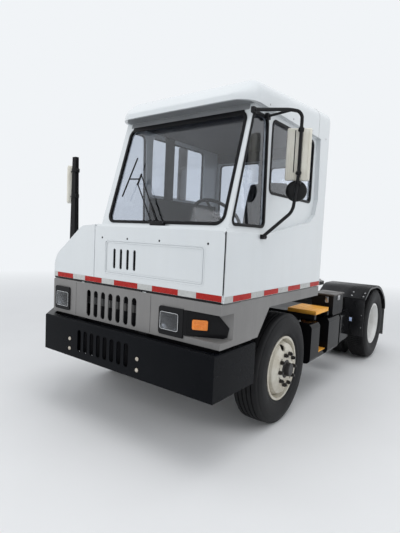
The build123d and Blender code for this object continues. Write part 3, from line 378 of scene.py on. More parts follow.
@dataclass(frozen=True)
class Finish:
    """A painted, moulded or metal surface with its own wear."""

    name: str
    slot: str
    base: Colour
    tint: Colour
    rough: tuple[float, float] = (0.3, 0.45)
    metallic: float = 0.0
    coat: float = 0.0
    mottle: float = 2.5
    dirt: Colour = (0.20, 0.17, 0.13)
    dirt_amount: float = 0.25
    dirt_top: float = 1.2
    streaks: float = 0.0
    fleck: Colour = (0.4, 0.4, 0.4)
    fleck_amount: float = 0.0
    fleck_scale: float = 90.0
    grain: float = 320.0
    grain_depth: float = 0.0004
    relief: Effect = Effect.GRAIN
    clear: float = 0.0
    ior: float = 1.5
    glow: float = 0.0
    gloss: float = 0.5
    streak_scale: float = 9.0

    def material(self) -> bpy.types.Material:
        """Give this finish as a material, built on its first use."""
        found = bpy.data.materials.get(self.name)
        return found if found else self.build()

    def effect(self, graph: Graph, effect: Effect, place: bpy.types.NodeSocket,
               **values: float) -> bpy.types.NodeSocket:
        """Place a shared effect in this finish's tree.

        Args:
            graph: The finish's own graph.
            effect: The shared group.
            place: Where on the surface it is read.
            **values: The group's number inputs.

        Returns:
            The group's output.
        """
        node = graph.add("ShaderNodeGroup", node_tree=bpy.data.node_groups[effect.value])
        graph.tree.links.new(place, node.inputs["Place"])
        for name, value in values.items():
            node.inputs[name].default_value = value
        return node.outputs[0]

    def build(self) -> bpy.types.Material:
        """Build the node tree: tone, streaks, flecks, grime, gloss and relief.

        Returns:
            The new material.
        """
        material = bpy.data.materials.new(self.name)
        material.use_nodes = True
        tree = material.node_tree
        tree.nodes.clear()
        graph = Graph(tree)
        place = graph.add("ShaderNodeTexCoord").outputs["Object"]
        tone = self.effect(graph, Effect.MOTTLE, place, Scale=self.mottle)
        colour = graph.blend(tone, self.base, self.tint)
        grime = self.effect(graph, Effect.GRIME, place, Top=self.dirt_top, Amount=self.dirt_amount)
        if self.streaks:
            lines = self.effect(graph, Effect.STREAKS, place, Amount=self.streaks, Scale=self.streak_scale)
            colour = graph.blend(lines, colour, self.dirt)
        if self.fleck_amount:
            specks = self.effect(graph, Effect.FLECKS, place, Scale=self.fleck_scale, Amount=self.fleck_amount)
            colour = graph.blend(specks, colour, self.fleck)
        colour = graph.blend(grime, colour, self.dirt)
        rough = graph.span(tone, 0.0, 1.0, self.rough[0], self.rough[1])
        rough = graph.sum("MAXIMUM", rough, graph.span(grime, 0.0, 1.0, self.rough[0], 0.85))
        relief = self.effect(graph, self.relief, place, Scale=self.grain)
        bump = graph.add("ShaderNodeBump", {"Strength": 1.0, "Distance": self.grain_depth, "Height": relief})
        shader = graph.add("ShaderNodeBsdfPrincipled", {
            "Base Color": colour, "Roughness": rough, "Metallic": self.metallic, "Coat Weight": self.coat,
            "Coat Roughness": 0.06, "IOR": self.ior, "Specular IOR Level": self.gloss,
            "Transmission Weight": self.clear, "Normal": bump.outputs[0]})
        if self.glow:
            shader.inputs["Emission Color"].default_value = (*self.base, 1.0)
            shader.inputs["Emission Strength"].default_value = self.glow
        ending = graph.add("ShaderNodeOutputMaterial")
        tree.links.new(shader.outputs[0], ending.inputs["Surface"])
        return material


CAB_WHITE = Finish("cab white", "cab_paint", (0.70, 0.73, 0.745), (0.665, 0.70, 0.72), (0.18, 0.28), coat=0.3,
                   mottle=1.1, dirt=(0.45, 0.43, 0.38), dirt_amount=0.10, dirt_top=2.0, streaks=0.05,
                   grain=160.0, grain_depth=0.00006)
FASCIA_GREY = Finish("fascia grey", "fascia_paint", (0.205, 0.200, 0.196), (0.175, 0.171, 0.168), (0.38, 0.5),
                     mottle=1.6, dirt=(0.31, 0.30, 0.28), dirt_amount=0.18, streaks=0.22, streak_scale=70.0,
                     grain=420.0, grain_depth=0.0002)
CHASSIS_BLACK = Finish("chassis black", "chassis_paint", (0.006, 0.006, 0.007), (0.010, 0.010, 0.011), (0.34, 0.5),
                       gloss=0.12, dirt=(0.05, 0.045, 0.04), dirt_amount=0.2, fleck=(0.12, 0.115, 0.10),
                       fleck_amount=0.08, grain=260.0, grain_depth=0.0002)
BUMPER_BLACK = Finish("bumper black", "chassis_paint", (0.0030, 0.0036, 0.0050), (0.0050, 0.0058, 0.0076),
                      (0.26, 0.36), gloss=0.06, mottle=1.4, dirt=(0.04, 0.038, 0.036), dirt_amount=0.08,
                      dirt_top=0.9, grain=520.0, grain_depth=0.00004)
# Its grey flecks are painted sparkle: highlights drawn as specks on the black.
FENDER_BLACK = Finish("fender black", "chassis_paint", (0.007, 0.007, 0.008), (0.013, 0.013, 0.015), (0.24, 0.42),
                      gloss=0.25, mottle=4.0, dirt=(0.07, 0.066, 0.06), dirt_amount=0.18,
                      fleck=(0.34, 0.34, 0.34), fleck_amount=0.3, fleck_scale=130.0, grain=300.0,
                      grain_depth=0.0002)
TANK_BLACK = Finish("tank black", "tank_paint", (0.0045, 0.0045, 0.005), (0.007, 0.007, 0.008), (0.08, 0.16),
                    gloss=0.08, dirt=(0.025, 0.023, 0.021), dirt_amount=0.08, grain=200.0,
                    grain_depth=0.00006)
ENGINE_GREY = Finish("engine grey", "engine_paint", (0.055, 0.058, 0.062), (0.09, 0.09, 0.09), (0.4, 0.6),
                     dirt_amount=0.5, dirt_top=1.4)
TREAD_YELLOW = Finish("tread yellow", "tread_yellow", (0.92, 0.44, 0.05), (0.82, 0.37, 0.045), (0.4, 0.6),
                      mottle=14.0, dirt=(0.20, 0.12, 0.06), dirt_amount=0.30, dirt_top=1.6,
                      fleck=(0.25, 0.14, 0.07), fleck_amount=0.3, fleck_scale=70.0)
FRONT_RIM = Finish("front rim cream", "front_rim", (0.66, 0.64, 0.56), (0.53, 0.49, 0.40), (0.35, 0.55),
                   mottle=7.0, dirt=(0.17, 0.11, 0.06), dirt_amount=0.5, dirt_top=1.1, fleck=(0.18, 0.08, 0.04),
                   fleck_amount=0.6, fleck_scale=45.0)
REAR_RIM = Finish("rear rim white", "rear_rim", (0.80, 0.80, 0.79), (0.70, 0.70, 0.68), (0.3, 0.5), mottle=5.0,
                  dirt=(0.30, 0.26, 0.2), dirt_amount=0.25, dirt_top=1.0)
TYRE_RUBBER = Finish("tyre rubber", "tyre_rubber", (0.011, 0.011, 0.012), (0.018, 0.018, 0.019), (0.5, 0.65),
                     gloss=0.15, mottle=6.0, dirt=(0.035, 0.033, 0.03), dirt_amount=0.3, dirt_top=1.0,
                     grain=600.0, grain_depth=0.0002)
FLAP_RUBBER = Finish("flap rubber", "flap_rubber", (0.05, 0.052, 0.055), (0.075, 0.077, 0.08), (0.5, 0.7),
                     streaks=0.3, dirt=(0.2, 0.19, 0.17), dirt_amount=0.4)
BLACK_PLASTIC = Finish("black plastic", "black_plastic", (0.007, 0.007, 0.008), (0.012, 0.012, 0.013), (0.3, 0.42),
                       gloss=0.2, dirt=(0.06, 0.055, 0.05), dirt_amount=0.1, grain=900.0, grain_depth=0.0001)
GLOSS_BLACK = Finish("gloss black", "black_plastic", (0.004, 0.004, 0.005), (0.007, 0.007, 0.008), (0.10, 0.18),
                     gloss=0.16, dirt=(0.03, 0.03, 0.03), dirt_amount=0.05, grain=300.0, grain_depth=0.00004)
GASKET = Finish("window rubber", "black_plastic", (0.006, 0.006, 0.007), (0.010, 0.010, 0.011), (0.4, 0.55),
                gloss=0.15, dirt=(0.06, 0.06, 0.06), dirt_amount=0.08, dirt_top=3.0, grain=700.0)
# Painted shade: the cab's white paint under the visor and on the windscreen's header, drawn grey as it looks when
# shaded.
VISOR_SHADE_GREY = Finish("visor painted shade", "cab_paint", (0.27, 0.28, 0.29), (0.22, 0.23, 0.24), (0.5, 0.65),
                    gloss=0.25, dirt=(0.15, 0.15, 0.15), dirt_amount=0.15, dirt_top=3.0, grain=200.0)
# Painted shade: dark grey sheets on the cab's ceiling and rear wall.
CAB_PAINTED_SHADE = Finish("cab painted shade", "black_plastic", (0.065, 0.066, 0.075), (0.085, 0.085, 0.095), (0.6, 0.8),
                    gloss=0.3, dirt=(0.05, 0.05, 0.05), dirt_amount=0.2, dirt_top=3.0, grain=240.0)
# Near-black: painted shade on the cab's inner walls and floor, and the real colour of the dashboard and the roof
# seam.
DARK_TRIM_AND_SHADE = Finish("dark trim and painted shade", "black_plastic", (0.008, 0.010, 0.011), (0.013, 0.015, 0.016), (0.5, 0.7),
                     gloss=0.3, dirt=(0.03, 0.03, 0.03), dirt_amount=0.2, dirt_top=3.0, grain=240.0)
LAMP_GLASS = Finish("lamp glass", "lamp_lens", (0.40, 0.42, 0.45), (0.32, 0.34, 0.37), (0.02, 0.06), clear=0.95,
                    gloss=0.3, dirt_amount=0.02, grain=22.0, grain_depth=0.0003, relief=Effect.RIDGES)
REFLECTOR = Finish("lamp reflector", "bright_steel", (0.060, 0.062, 0.066), (0.022, 0.023, 0.025), (0.10, 0.26),
                   metallic=1.0, mottle=18.0, dirt_amount=0.05, grain=60.0, grain_depth=0.0006)
# Bright metal for the lamp rims, and for the domes that paint the lamps' highlights.
LAMP_TRIM_AND_GLINTS = Finish("lamp trim and painted glints", "bright_steel", (0.80, 0.81, 0.82), (0.62, 0.63, 0.64), (0.12, 0.2),
                   metallic=0.8, mottle=18.0, dirt_amount=0.05, grain=60.0, grain_depth=0.0001)
AMBER_LENS = Finish("amber lens", "amber_lens", (0.86, 0.25, 0.02), (0.70, 0.18, 0.01), (0.1, 0.25), coat=0.4,
                    mottle=30.0, dirt_amount=0.05, grain=55.0, grain_depth=0.0006, glow=0.10)
RED_LENS = Finish("red lens", "red_lens", (0.45, 0.015, 0.01), (0.30, 0.01, 0.01), (0.1, 0.25), coat=0.5,
                  mottle=30.0, dirt_amount=0.12, grain=55.0, grain_depth=0.0005)
TAPE_RED = Finish("tape red", "red_lens", (0.44, 0.016, 0.012), (0.33, 0.013, 0.010), (0.35, 0.5), mottle=40.0,
                  gloss=0.2, dirt_amount=0.06, dirt_top=2.0, grain=240.0, grain_depth=0.0004, relief=Effect.WEAVE)
TAPE_WHITE = Finish("tape white", "mirror_shell", (0.56, 0.57, 0.56), (0.46, 0.47, 0.46), (0.28, 0.42),
                    mottle=40.0, dirt_amount=0.15, dirt_top=2.0, grain=240.0, grain_depth=0.0004,
                    relief=Effect.WEAVE)
WINDOW_GLASS = Finish("window glass", "window_glass", (0.76, 0.79, 0.84), (0.72, 0.755, 0.81), (0.01, 0.03),
                      clear=1.0, ior=1.5, mottle=1.5, dirt_amount=0.02, dirt_top=3.0, grain=2.0,
                      grain_depth=0.0001)
SEAT_CLOTH = Finish("seat cloth", "seat_cover", (0.035, 0.036, 0.040), (0.05, 0.05, 0.055), (0.7, 0.9),
                    mottle=9.0, dirt_amount=0.1, grain=220.0, grain_depth=0.0006, relief=Effect.WEAVE)
MIRROR_SHELL = Finish("mirror shell", "mirror_shell", (0.80, 0.78, 0.70), (0.70, 0.675, 0.59), (0.3, 0.45),
                      mottle=6.0, dirt=(0.38, 0.33, 0.24), dirt_amount=0.2, dirt_top=3.0, streaks=0.15,
                      streak_scale=60.0)
MIRROR_GLASS = Finish("mirror glass", "rod_chrome", (0.80, 0.82, 0.84), (0.74, 0.77, 0.80), (0.02, 0.05),
                      metallic=1.0, dirt_amount=0.04, dirt_top=3.0, grain_depth=0.00001)
BRIGHT_STEEL = Finish("bright steel", "bright_steel", (0.50, 0.50, 0.51), (0.38, 0.38, 0.39), (0.22, 0.42),
                      metallic=0.9, mottle=12.0, dirt_amount=0.3, dirt_top=1.4)
EXHAUST_STEEL = Finish("exhaust steel", "bright_steel", (0.12, 0.115, 0.11), (0.07, 0.065, 0.06), (0.35, 0.6),
                       metallic=0.7, mottle=9.0, dirt=(0.10, 0.05, 0.03), dirt_amount=0.4, dirt_top=3.0)
ROD_CHROME = Finish("rod chrome", "rod_chrome", (0.72, 0.73, 0.75), (0.62, 0.63, 0.65), (0.06, 0.12),
                    metallic=1.0, dirt_amount=0.15)
PLATE_STEEL = Finish("plate steel", "plate_steel", (0.10, 0.095, 0.09), (0.05, 0.046, 0.042), (0.25, 0.55),
                     metallic=0.7, mottle=5.0, dirt=(0.03, 0.022, 0.016), dirt_amount=0.7, dirt_top=1.6)
HUB_BLACK = Finish("hub black", "hub_black", (0.010, 0.010, 0.011), (0.022, 0.019, 0.017), (0.3, 0.5),
                   gloss=0.4, dirt=(0.12, 0.08, 0.05), dirt_amount=0.3)
# Near-black: painted shade behind the slots and vents, and the colour of the bolt washers and the panel seam.
BLACK_AND_RECESS_SHADE = Finish("flat black and recess shade", "black_plastic", (0.003, 0.003, 0.004), (0.005, 0.005, 0.006), (0.7, 0.9),
                     gloss=0.15, dirt=(0.01, 0.01, 0.01), dirt_amount=0.1)
BOLT_STEEL = Finish("bolt steel", "bright_steel", (0.66, 0.61, 0.53), (0.46, 0.41, 0.34), (0.25, 0.42),
                    metallic=0.7, mottle=60.0, dirt=(0.16, 0.10, 0.06), dirt_amount=0.35, dirt_top=1.4)
WORK_LENS = Finish("work lamp lens", "lamp_lens", (0.50, 0.62, 0.88), (0.40, 0.50, 0.78), (0.08, 0.2), coat=0.5,
                   mottle=40.0, dirt_amount=0.1, glow=0.1)

SLOT_FINISHES = {finish.slot: finish for finish in (
    BRIGHT_STEEL, CAB_WHITE, FASCIA_GREY, CHASSIS_BLACK, TANK_BLACK, ENGINE_GREY, TREAD_YELLOW, FRONT_RIM,
    REAR_RIM, TYRE_RUBBER, FLAP_RUBBER, BLACK_PLASTIC, LAMP_GLASS, AMBER_LENS, RED_LENS, WINDOW_GLASS,
    SEAT_CLOTH, MIRROR_SHELL, ROD_CHROME, PLATE_STEEL, HUB_BLACK)}
NODE_FINISHES = {"front_bumper": BUMPER_BLACK, "rear_fenders": FENDER_BLACK, "lamp_bezels": GLOSS_BLACK,
                 "exhaust": EXHAUST_STEEL, "dashboard": DARK_TRIM_AND_SHADE, "battery_box": CHASSIS_BLACK}


class Shape:
    """A mesh under work, with the moves that this vehicle's pieces share."""

    def __init__(self) -> None:
        """Start empty."""
        self.bm = bmesh.new()

    def round_off(self, verts: Iterable[bmesh.types.BMVert], edge: float, steps: int = 2,
                  sharp: float = 40.0) -> None:
        """Round the sharp edges between some vertices.

        Args:
            verts: The vertices.
            edge: How round, or 0 to leave them sharp.
            steps: Faces across the round.
            sharp: The least angle of a sharp edge, in degrees.
        """
        chosen = set(verts)
        edges = [item for item in self.bm.edges if item.verts[0] in chosen and item.verts[1] in chosen
                 and math.degrees(item.calc_face_angle(math.pi)) > sharp]
        if edge > 0 and edges:
            bmesh.ops.bevel(self.bm, geom=edges, offset=edge, offset_type="OFFSET", segments=steps,
                            profile=0.5, affect="EDGES", material=-1, clamp_overlap=True)

    def slab(self, size: tuple[float, float, float], place: Matrix, edge: float = 0.002, steps: int = 2) -> None:
        """Add a block of a size about a local origin, with round edges."""
        made = bmesh.ops.create_cube(self.bm, size=1.0, matrix=place @ Matrix.Diagonal((*size, 1.0)))
        self.round_off(made["verts"], edge, steps)

    def box(self, low: Vector, high: Vector, edge: float = 0.002, steps: int = 2) -> None:
        """Add a block between two corners."""
        self.slab(tuple(high - low), Matrix.Translation((low + high) / 2), edge, steps)

    def boxes(self, rows: Rows) -> None:
        """Add blocks from rows: across, behind and height of both corners, then edge and steps."""
        for row in rows:
            self.box(spot(*row[:3]), spot(*row[3:6]), *row[6:])

    def rod(self, start: Vector, end: Vector, radius: float, edge: float = 0.0, tip: float | None = None) -> None:
        """Add a round bar or cone between two points.

        Args:
            start: The middle of its first end.
            end: The middle of its last end.
            radius: Its radius.
            edge: How round its rims are.
            tip: The radius of its last end, if it is a cone.
        """
        run = end - start
        place = facing((start + end) / 2, run, UP if abs(run.normalized().z) < 0.99 else LEFT)
        made = bmesh.ops.create_cone(self.bm, cap_ends=True, segments=20, radius1=radius,
                                     radius2=radius if tip is None else tip, depth=run.length, matrix=place)
        self.round_off(made["verts"], edge, 2)

    def rods(self, rows: Rows) -> None:
        """Add bars from rows: across, behind and height of both ends, then radius, edge and tip."""
        for row in rows:
            self.rod(spot(*row[:3]), spot(*row[3:6]), *row[6:])

    def lathe(self, outline: Outline, place: Matrix, steps: int = 40) -> list[bmesh.types.BMFace]:
        """Spin an outline of (radius, height) about local Z.

        Args:
            outline: Points from one end to the other.
            place: The matrix of the local axes.
            steps: Copies in a full turn.

        Returns:
            The faces that it made.
        """
        before = set(self.bm.faces)
        verts = [self.bm.verts.new(place @ Vector((radius, 0, height))) for radius, height in outline]
        edges = [self.bm.edges.new(pair) for pair in zip(verts, verts[1:])]
        bmesh.ops.spin(self.bm, geom=verts + edges, cent=place.translation, axis=place.to_3x3() @ UP,
                       angle=math.tau, steps=steps, use_merge=True)
        return [face for face in self.bm.faces if face not in before]

    def sheet(self, corners: Outline, place: Matrix, radius: float = 0.0, thick: float = 0.002, edge: float = 0.0,
              rim: float = 0.0, steps: int = 6) -> None:
        """Add a plate of a rounded outline, or a ring along its rim.

        Args:
            corners: The outline's corners in local X and Y.
            place: The matrix of the outline's plane.
            radius: How round the corners are.
            thick: How far it rises along local Z.
            edge: How round its edges are.
            rim: The ring's width, or 0 for a whole plate.
            steps: Sides of each round corner.
        """
        before = set(self.bm.faces)
        verts = [self.bm.verts.new(place @ Vector((across, up, 0))) for across, up in corners]
        self.bm.faces.new(verts).normal_update()
        if radius:
            bmesh.ops.bevel(self.bm, geom=verts, offset=radius, offset_type="OFFSET", segments=steps,
                            profile=0.5, affect="VERTICES", material=-1, clamp_overlap=True)
        face = next(item for item in self.bm.faces if item not in before)
        faces = [face]
        if rim:
            faces = bmesh.ops.inset_region(self.bm, faces=[face], thickness=rim, use_boundary=True,
                                           use_even_offset=True)["faces"]
            bmesh.ops.delete(self.bm, geom=[face], context="FACES")
        corners_now = {vert for item in faces for vert in item.verts}
        made = bmesh.ops.extrude_face_region(self.bm, geom=faces)
        risen = [item for item in made["geom"] if isinstance(item, bmesh.types.BMVert)]
        bmesh.ops.translate(self.bm, verts=risen, vec=place.to_3x3() @ Vector((0, 0, thick)))
        if edge:
            self.round_off(corners_now | set(risen), edge, 2, 60.0)

    def bridge(self, rings: Sequence[Sequence[Vector]]) -> None:
        """Skin a row of closed rings of equal length and shut both ends.

        Args:
            rings: The rings' points, all in the same turn.
        """
        rows = [[self.bm.verts.new(point) for point in ring] for ring in rings]
        for first, second in zip(rows, rows[1:]):
            for a, b, c, d in zip(first, first[1:] + first[:1], second[1:] + second[:1], second):
                self.bm.faces.new((a, b, c, d))
        self.bm.faces.new(rows[0][::-1])
        self.bm.faces.new(rows[-1])

    def ribbon(self, path: Outline, left: float, right: float, thick: float) -> None:
        """Bend a plate along a side path and stretch it across the vehicle.

        Args:
            path: Points of distance behind the bumper and height.
            left: Across place of one side.
            right: Across place of the other side.
            thick: How far the plate goes to the right of its path's run.
        """
        points = [Vector(item) for item in path]
        rings = []
        for number, here in enumerate(points):
            run = (points[min(number + 1, len(points) - 1)] - points[max(number - 1, 0)]).normalized()
            under = here + Vector((run.y, -run.x)) * thick
            rings.append([spot(left, here.x, here.y), spot(right, here.x, here.y),
                          spot(right, under.x, under.y), spot(left, under.x, under.y)])
        self.bridge(rings)

    def bolt(self, place: Matrix, radius: float, height: float, washer: float = 0.003) -> None:
        """Add a six-sided bolt head on its washer, rising along local Z.

        Args:
            place: The matrix of its foot.
            radius: The head's radius.
            height: The head's height.
            washer: The washer's thickness.
        """
        for sides, wide, top, start, end in ((20, radius * 1.5, radius * 1.5, 0.0, washer),
                                             (6, radius, radius * 0.92, washer, washer + height)):
            bmesh.ops.create_cone(self.bm, cap_ends=True, segments=sides, radius1=wide, radius2=top,
                                  depth=end - start, matrix=shifted(place, 0, 0, (start + end) / 2))

    def dome(self, place: Matrix, radius: float, height: float, steps: int = 20) -> None:
        """Add a low round head, rising along local Z."""
        rise = [(radius * math.cos(turn), height * math.sin(turn)) for turn in turns(QUARTER, 5)]
        self.lathe([(0.0, 0.0)] + rise, place, steps)

    def piece(self, name: str, finish: Finish, body: str, replaces: Sequence[str] = (),
              smooth: float = 38.0) -> bpy.types.Object:
        """Close the mesh and make it a piece of the vehicle.

        Args:
            name: The piece's name.
            finish: Its finish.
            body: The body that it rides on.
            replaces: Nodes that it stands for.
            smooth: Edges flatter than this many degrees are shaded smooth.

        Returns:
            The new object.
        """
        bmesh.ops.remove_doubles(self.bm, verts=self.bm.verts[:], dist=1e-5)
        bmesh.ops.recalc_face_normals(self.bm, faces=self.bm.faces[:])
        for face in self.bm.faces:
            face.smooth = True
        for item in self.bm.edges:
            item.smooth = math.degrees(item.calc_face_angle(0.0)) < smooth
        mesh = bpy.data.meshes.new(name)
        self.bm.to_mesh(mesh)
        self.bm.free()
        return adopt(mesh, name, finish, body, replaces)


def adopt(mesh: bpy.types.Mesh, name: str, finish: Finish, body: str,
          replaces: Sequence[str] = ()) -> bpy.types.Object:
    """Put a finished mesh on its body with its finish.

    Args:
        mesh: The mesh, in vehicle places.
        name: The piece's name.
        finish: Its finish.
        body: The body that it rides on.
        replaces: Nodes that it stands for.

    Returns:
        The new object.
    """
    thing = bpy.data.objects.new(name.replace(" ", "_"), mesh)
    bpy.context.scene.collection.objects.link(thing)
    mesh.materials.clear()
    mesh.materials.append(finish.material())
    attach(thing, body)
    if replaces:
        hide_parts(*replaces)
    LOG.info("%s: %d faces on %s", name, len(mesh.polygons), body)
    return thing


def block_piece(name: str, finish: Finish, body: str, boxes: Rows, rods: Rows = (),
                replaces: Sequence[str] = ()) -> None:
    """Make a piece of plain blocks and bars.

    Args:
        name: The piece's name.
        finish: Its finish.
        body: The body that it rides on.
        boxes: Rows as Shape.boxes takes them.
        rods: Rows as Shape.rods takes them.
        replaces: Nodes that it stands for.
    """
    shape = Shape()
    shape.boxes(boxes)
    shape.rods(rods)
    shape.piece(name, finish, body, replaces)


def bent_tube(points: Sequence[Vector], radius: float, bend: float, name: str) -> bpy.types.Mesh:
    """Mesh of a tube along straight runs with round bends.

    Args:
        points: The corners of its line.
        radius: The tube's radius.
        bend: How far from a corner its bend starts.
        name: The mesh's name.

    Returns:
        The tube's mesh.
    """
    curve = bpy.data.curves.new(name, "CURVE")
    curve.dimensions = "3D"
    curve.bevel_depth = radius
    curve.bevel_resolution = 5
    curve.resolution_u = 8
    curve.use_fill_caps = True
    places: list[tuple[Vector, Vector, Vector]] = []
    for step, point in enumerate(points):
        if step in (0, len(points) - 1):
            places.append((point, point, point))
            continue
        before = (points[step - 1] - point).normalized()
        after = (points[step + 1] - point).normalized()
        start = point + before * bend
        end = point + after * bend
        places.append((start, start + before * bend * 0.3, start.lerp(point, 0.55)))
        places.append((end, end.lerp(point, 0.55), end + after * bend * 0.3))
    spline = curve.splines.new("BEZIER")
    spline.bezier_points.add(len(places) - 1)
    for knot, (middle, left, right) in zip(spline.bezier_points, places):
        knot.co = middle
        knot.handle_left_type = "FREE"
        knot.handle_right_type = "FREE"
        knot.handle_left = left
        knot.handle_right = right
    holder = bpy.data.objects.new(name, curve)
    mesh = bpy.data.meshes.new_from_object(holder)
    bpy.data.objects.remove(holder)
    for face in mesh.polygons:
        face.use_smooth = True
    return mesh


@dataclass
class Studio:
    """Floor, light and the photograph's camera."""

    place: tuple[float, float, float] = (2.643, -4.638, 1.709)
    heading: float = 36.46
    pitch: float = 4.423
    roll: float = 2.65
    lens: float = 27.33
    floor_size: float = 60.0
    floor_near: float = 4.0
    floor_far: float = 13.0
    sky: Colour = (0.88, 0.905, 0.93)
    soft_sky: Colour = (0.93, 0.96, 1.0)
    soft_strength: float = 0.62
    lamps: tuple[tuple[str, Sequence[float], Sequence[float], float, float], ...] = (
        ("high lamp", (1.5, -2.0, 8.5), (0, 0, 1), 250.0, 6.0),
        ("front lamp", (-2.5, -8.5, 4.0), (0, -1, 1.2), 150.0, 4.0),
        ("side lamp", (8.0, 0.5, 4.0), (0.5, 0, 1.2), 105.0, 4.0))

    def seen(self, graph: Graph) -> bpy.types.NodeSocket:
        """One where the camera, a reflection or a view through glass looks.

        Args:
            graph: The material's or the world's graph.

        Returns:
            The mask.
        """
        rays = graph.add("ShaderNodeLightPath")
        return graph.sum("MAXIMUM", rays.outputs["Is Camera Ray"],
                         graph.sum("MAXIMUM", rays.outputs["Is Glossy Ray"], rays.outputs["Is Transmission Ray"]))

    def camera(self) -> None:
        """Set the camera at the photograph's angle."""
        heading, pitch, roll = (math.radians(angle) for angle in (self.heading, self.pitch, self.roll))
        ahead = Vector((-math.sin(heading), math.cos(heading), 0))
        right = Vector((math.cos(heading), math.sin(heading), 0))
        look = ahead * math.cos(pitch) - UP * math.sin(pitch)
        down = -(UP * math.cos(pitch) + ahead * math.sin(pitch))
        axis_x = right * math.cos(roll) - down * math.sin(roll)
        axis_y = -(right * math.sin(roll) + down * math.cos(roll))
        data = bpy.data.cameras.new("photo camera")
        data.sensor_width = 36.0
        data.sensor_fit = "AUTO"
        data.lens = self.lens
        data.clip_end = 200.0
        thing = bpy.data.objects.new("photo camera", data)
        turned = Matrix((axis_x, axis_y, -look)).transposed().to_4x4()
        thing.matrix_world = Matrix.Translation(Vector(self.place)) @ turned
        bpy.context.scene.collection.objects.link(thing)
        bpy.context.scene.camera = thing

    def floor(self) -> None:
        """Lay the plain pale floor."""
        shape = Shape()
        bmesh.ops.create_grid(shape.bm, x_segments=1, y_segments=1, size=self.floor_size)
        mesh = bpy.data.meshes.new("floor")
        shape.bm.to_mesh(mesh)
        shape.bm.free()
        material = bpy.data.materials.new("pale floor")
        material.use_nodes = True
        graph = Graph(material.node_tree)
        shader = material.node_tree.nodes["Principled BSDF"]
        place = graph.add("ShaderNodeTexCoord").outputs["Object"]
        tone = graph.blend(graph.noise(place, 1.5, 4.0), (0.80, 0.805, 0.81), (0.84, 0.845, 0.85))
        material.node_tree.links.new(tone, shader.inputs["Base Color"])
        shader.inputs["Roughness"].default_value = 0.8
        far = graph.add("ShaderNodeVectorMath", {0: place}, operation="LENGTH").outputs["Value"]
        far = graph.span(far, self.floor_near, self.floor_far, 0.0, 1.0)
        pale = graph.add("ShaderNodeEmission", {"Color": (*self.sky, 1.0), "Strength": 1.0})
        mixed = graph.add("ShaderNodeMixShader", {0: graph.sum("MULTIPLY", far, self.seen(graph)),
                                                  1: shader.outputs[0], 2: pale.outputs[0]})
        ending = material.node_tree.nodes["Material Output"]
        material.node_tree.links.new(mixed.outputs[0], ending.inputs["Surface"])
        mesh.materials.append(material)
        thing = bpy.data.objects.new("floor", mesh)
        bpy.context.scene.collection.objects.link(thing)

    def lamp(self, name: str, at: Vector, aim: Vector, power: float, size: float) -> None:
        """Hang one soft square lamp that looks at a point and isn't mirrored in the glass.

        Args:
            name: The lamp's name.
            at: Where it hangs.
            aim: Where it looks.
            power: Its power in watts.
            size: The length of its side.
        """
        data = bpy.data.lights.new(name, "AREA")
        data.energy = power
        data.size = size
        thing = bpy.data.objects.new(name, data)
        thing.matrix_world = facing(at, at - aim)
        thing.visible_glossy = False
        bpy.context.scene.collection.objects.link(thing)

    def light(self) -> None:
        """Light the vehicle softly and show a pale ground behind it."""
        for name, at, aim, power, size in self.lamps:
            self.lamp(name, Vector(at), Vector(aim), power, size)
        world = bpy.data.worlds.new("pale room")
        bpy.context.scene.world = world
        world.use_nodes = True
        tree = world.node_tree
        tree.nodes.clear()
        graph = Graph(tree)
        soft = graph.add("ShaderNodeBackground", {"Color": (*self.soft_sky, 1.0), "Strength": self.soft_strength})
        plain = graph.add("ShaderNodeBackground", {"Color": (*self.sky, 1.0), "Strength": 1.0})
        mixed = graph.add("ShaderNodeMixShader", {0: self.seen(graph), 1: soft.outputs[0], 2: plain.outputs[0]})
        ending = graph.add("ShaderNodeOutputWorld")
        tree.links.new(mixed.outputs[0], ending.inputs["Surface"])
        bpy.context.scene.view_settings.view_transform = "Standard"

    def build(self) -> None:
        """Make the camera, floor and lamps."""
        self.camera()
        self.floor()
        self.light()


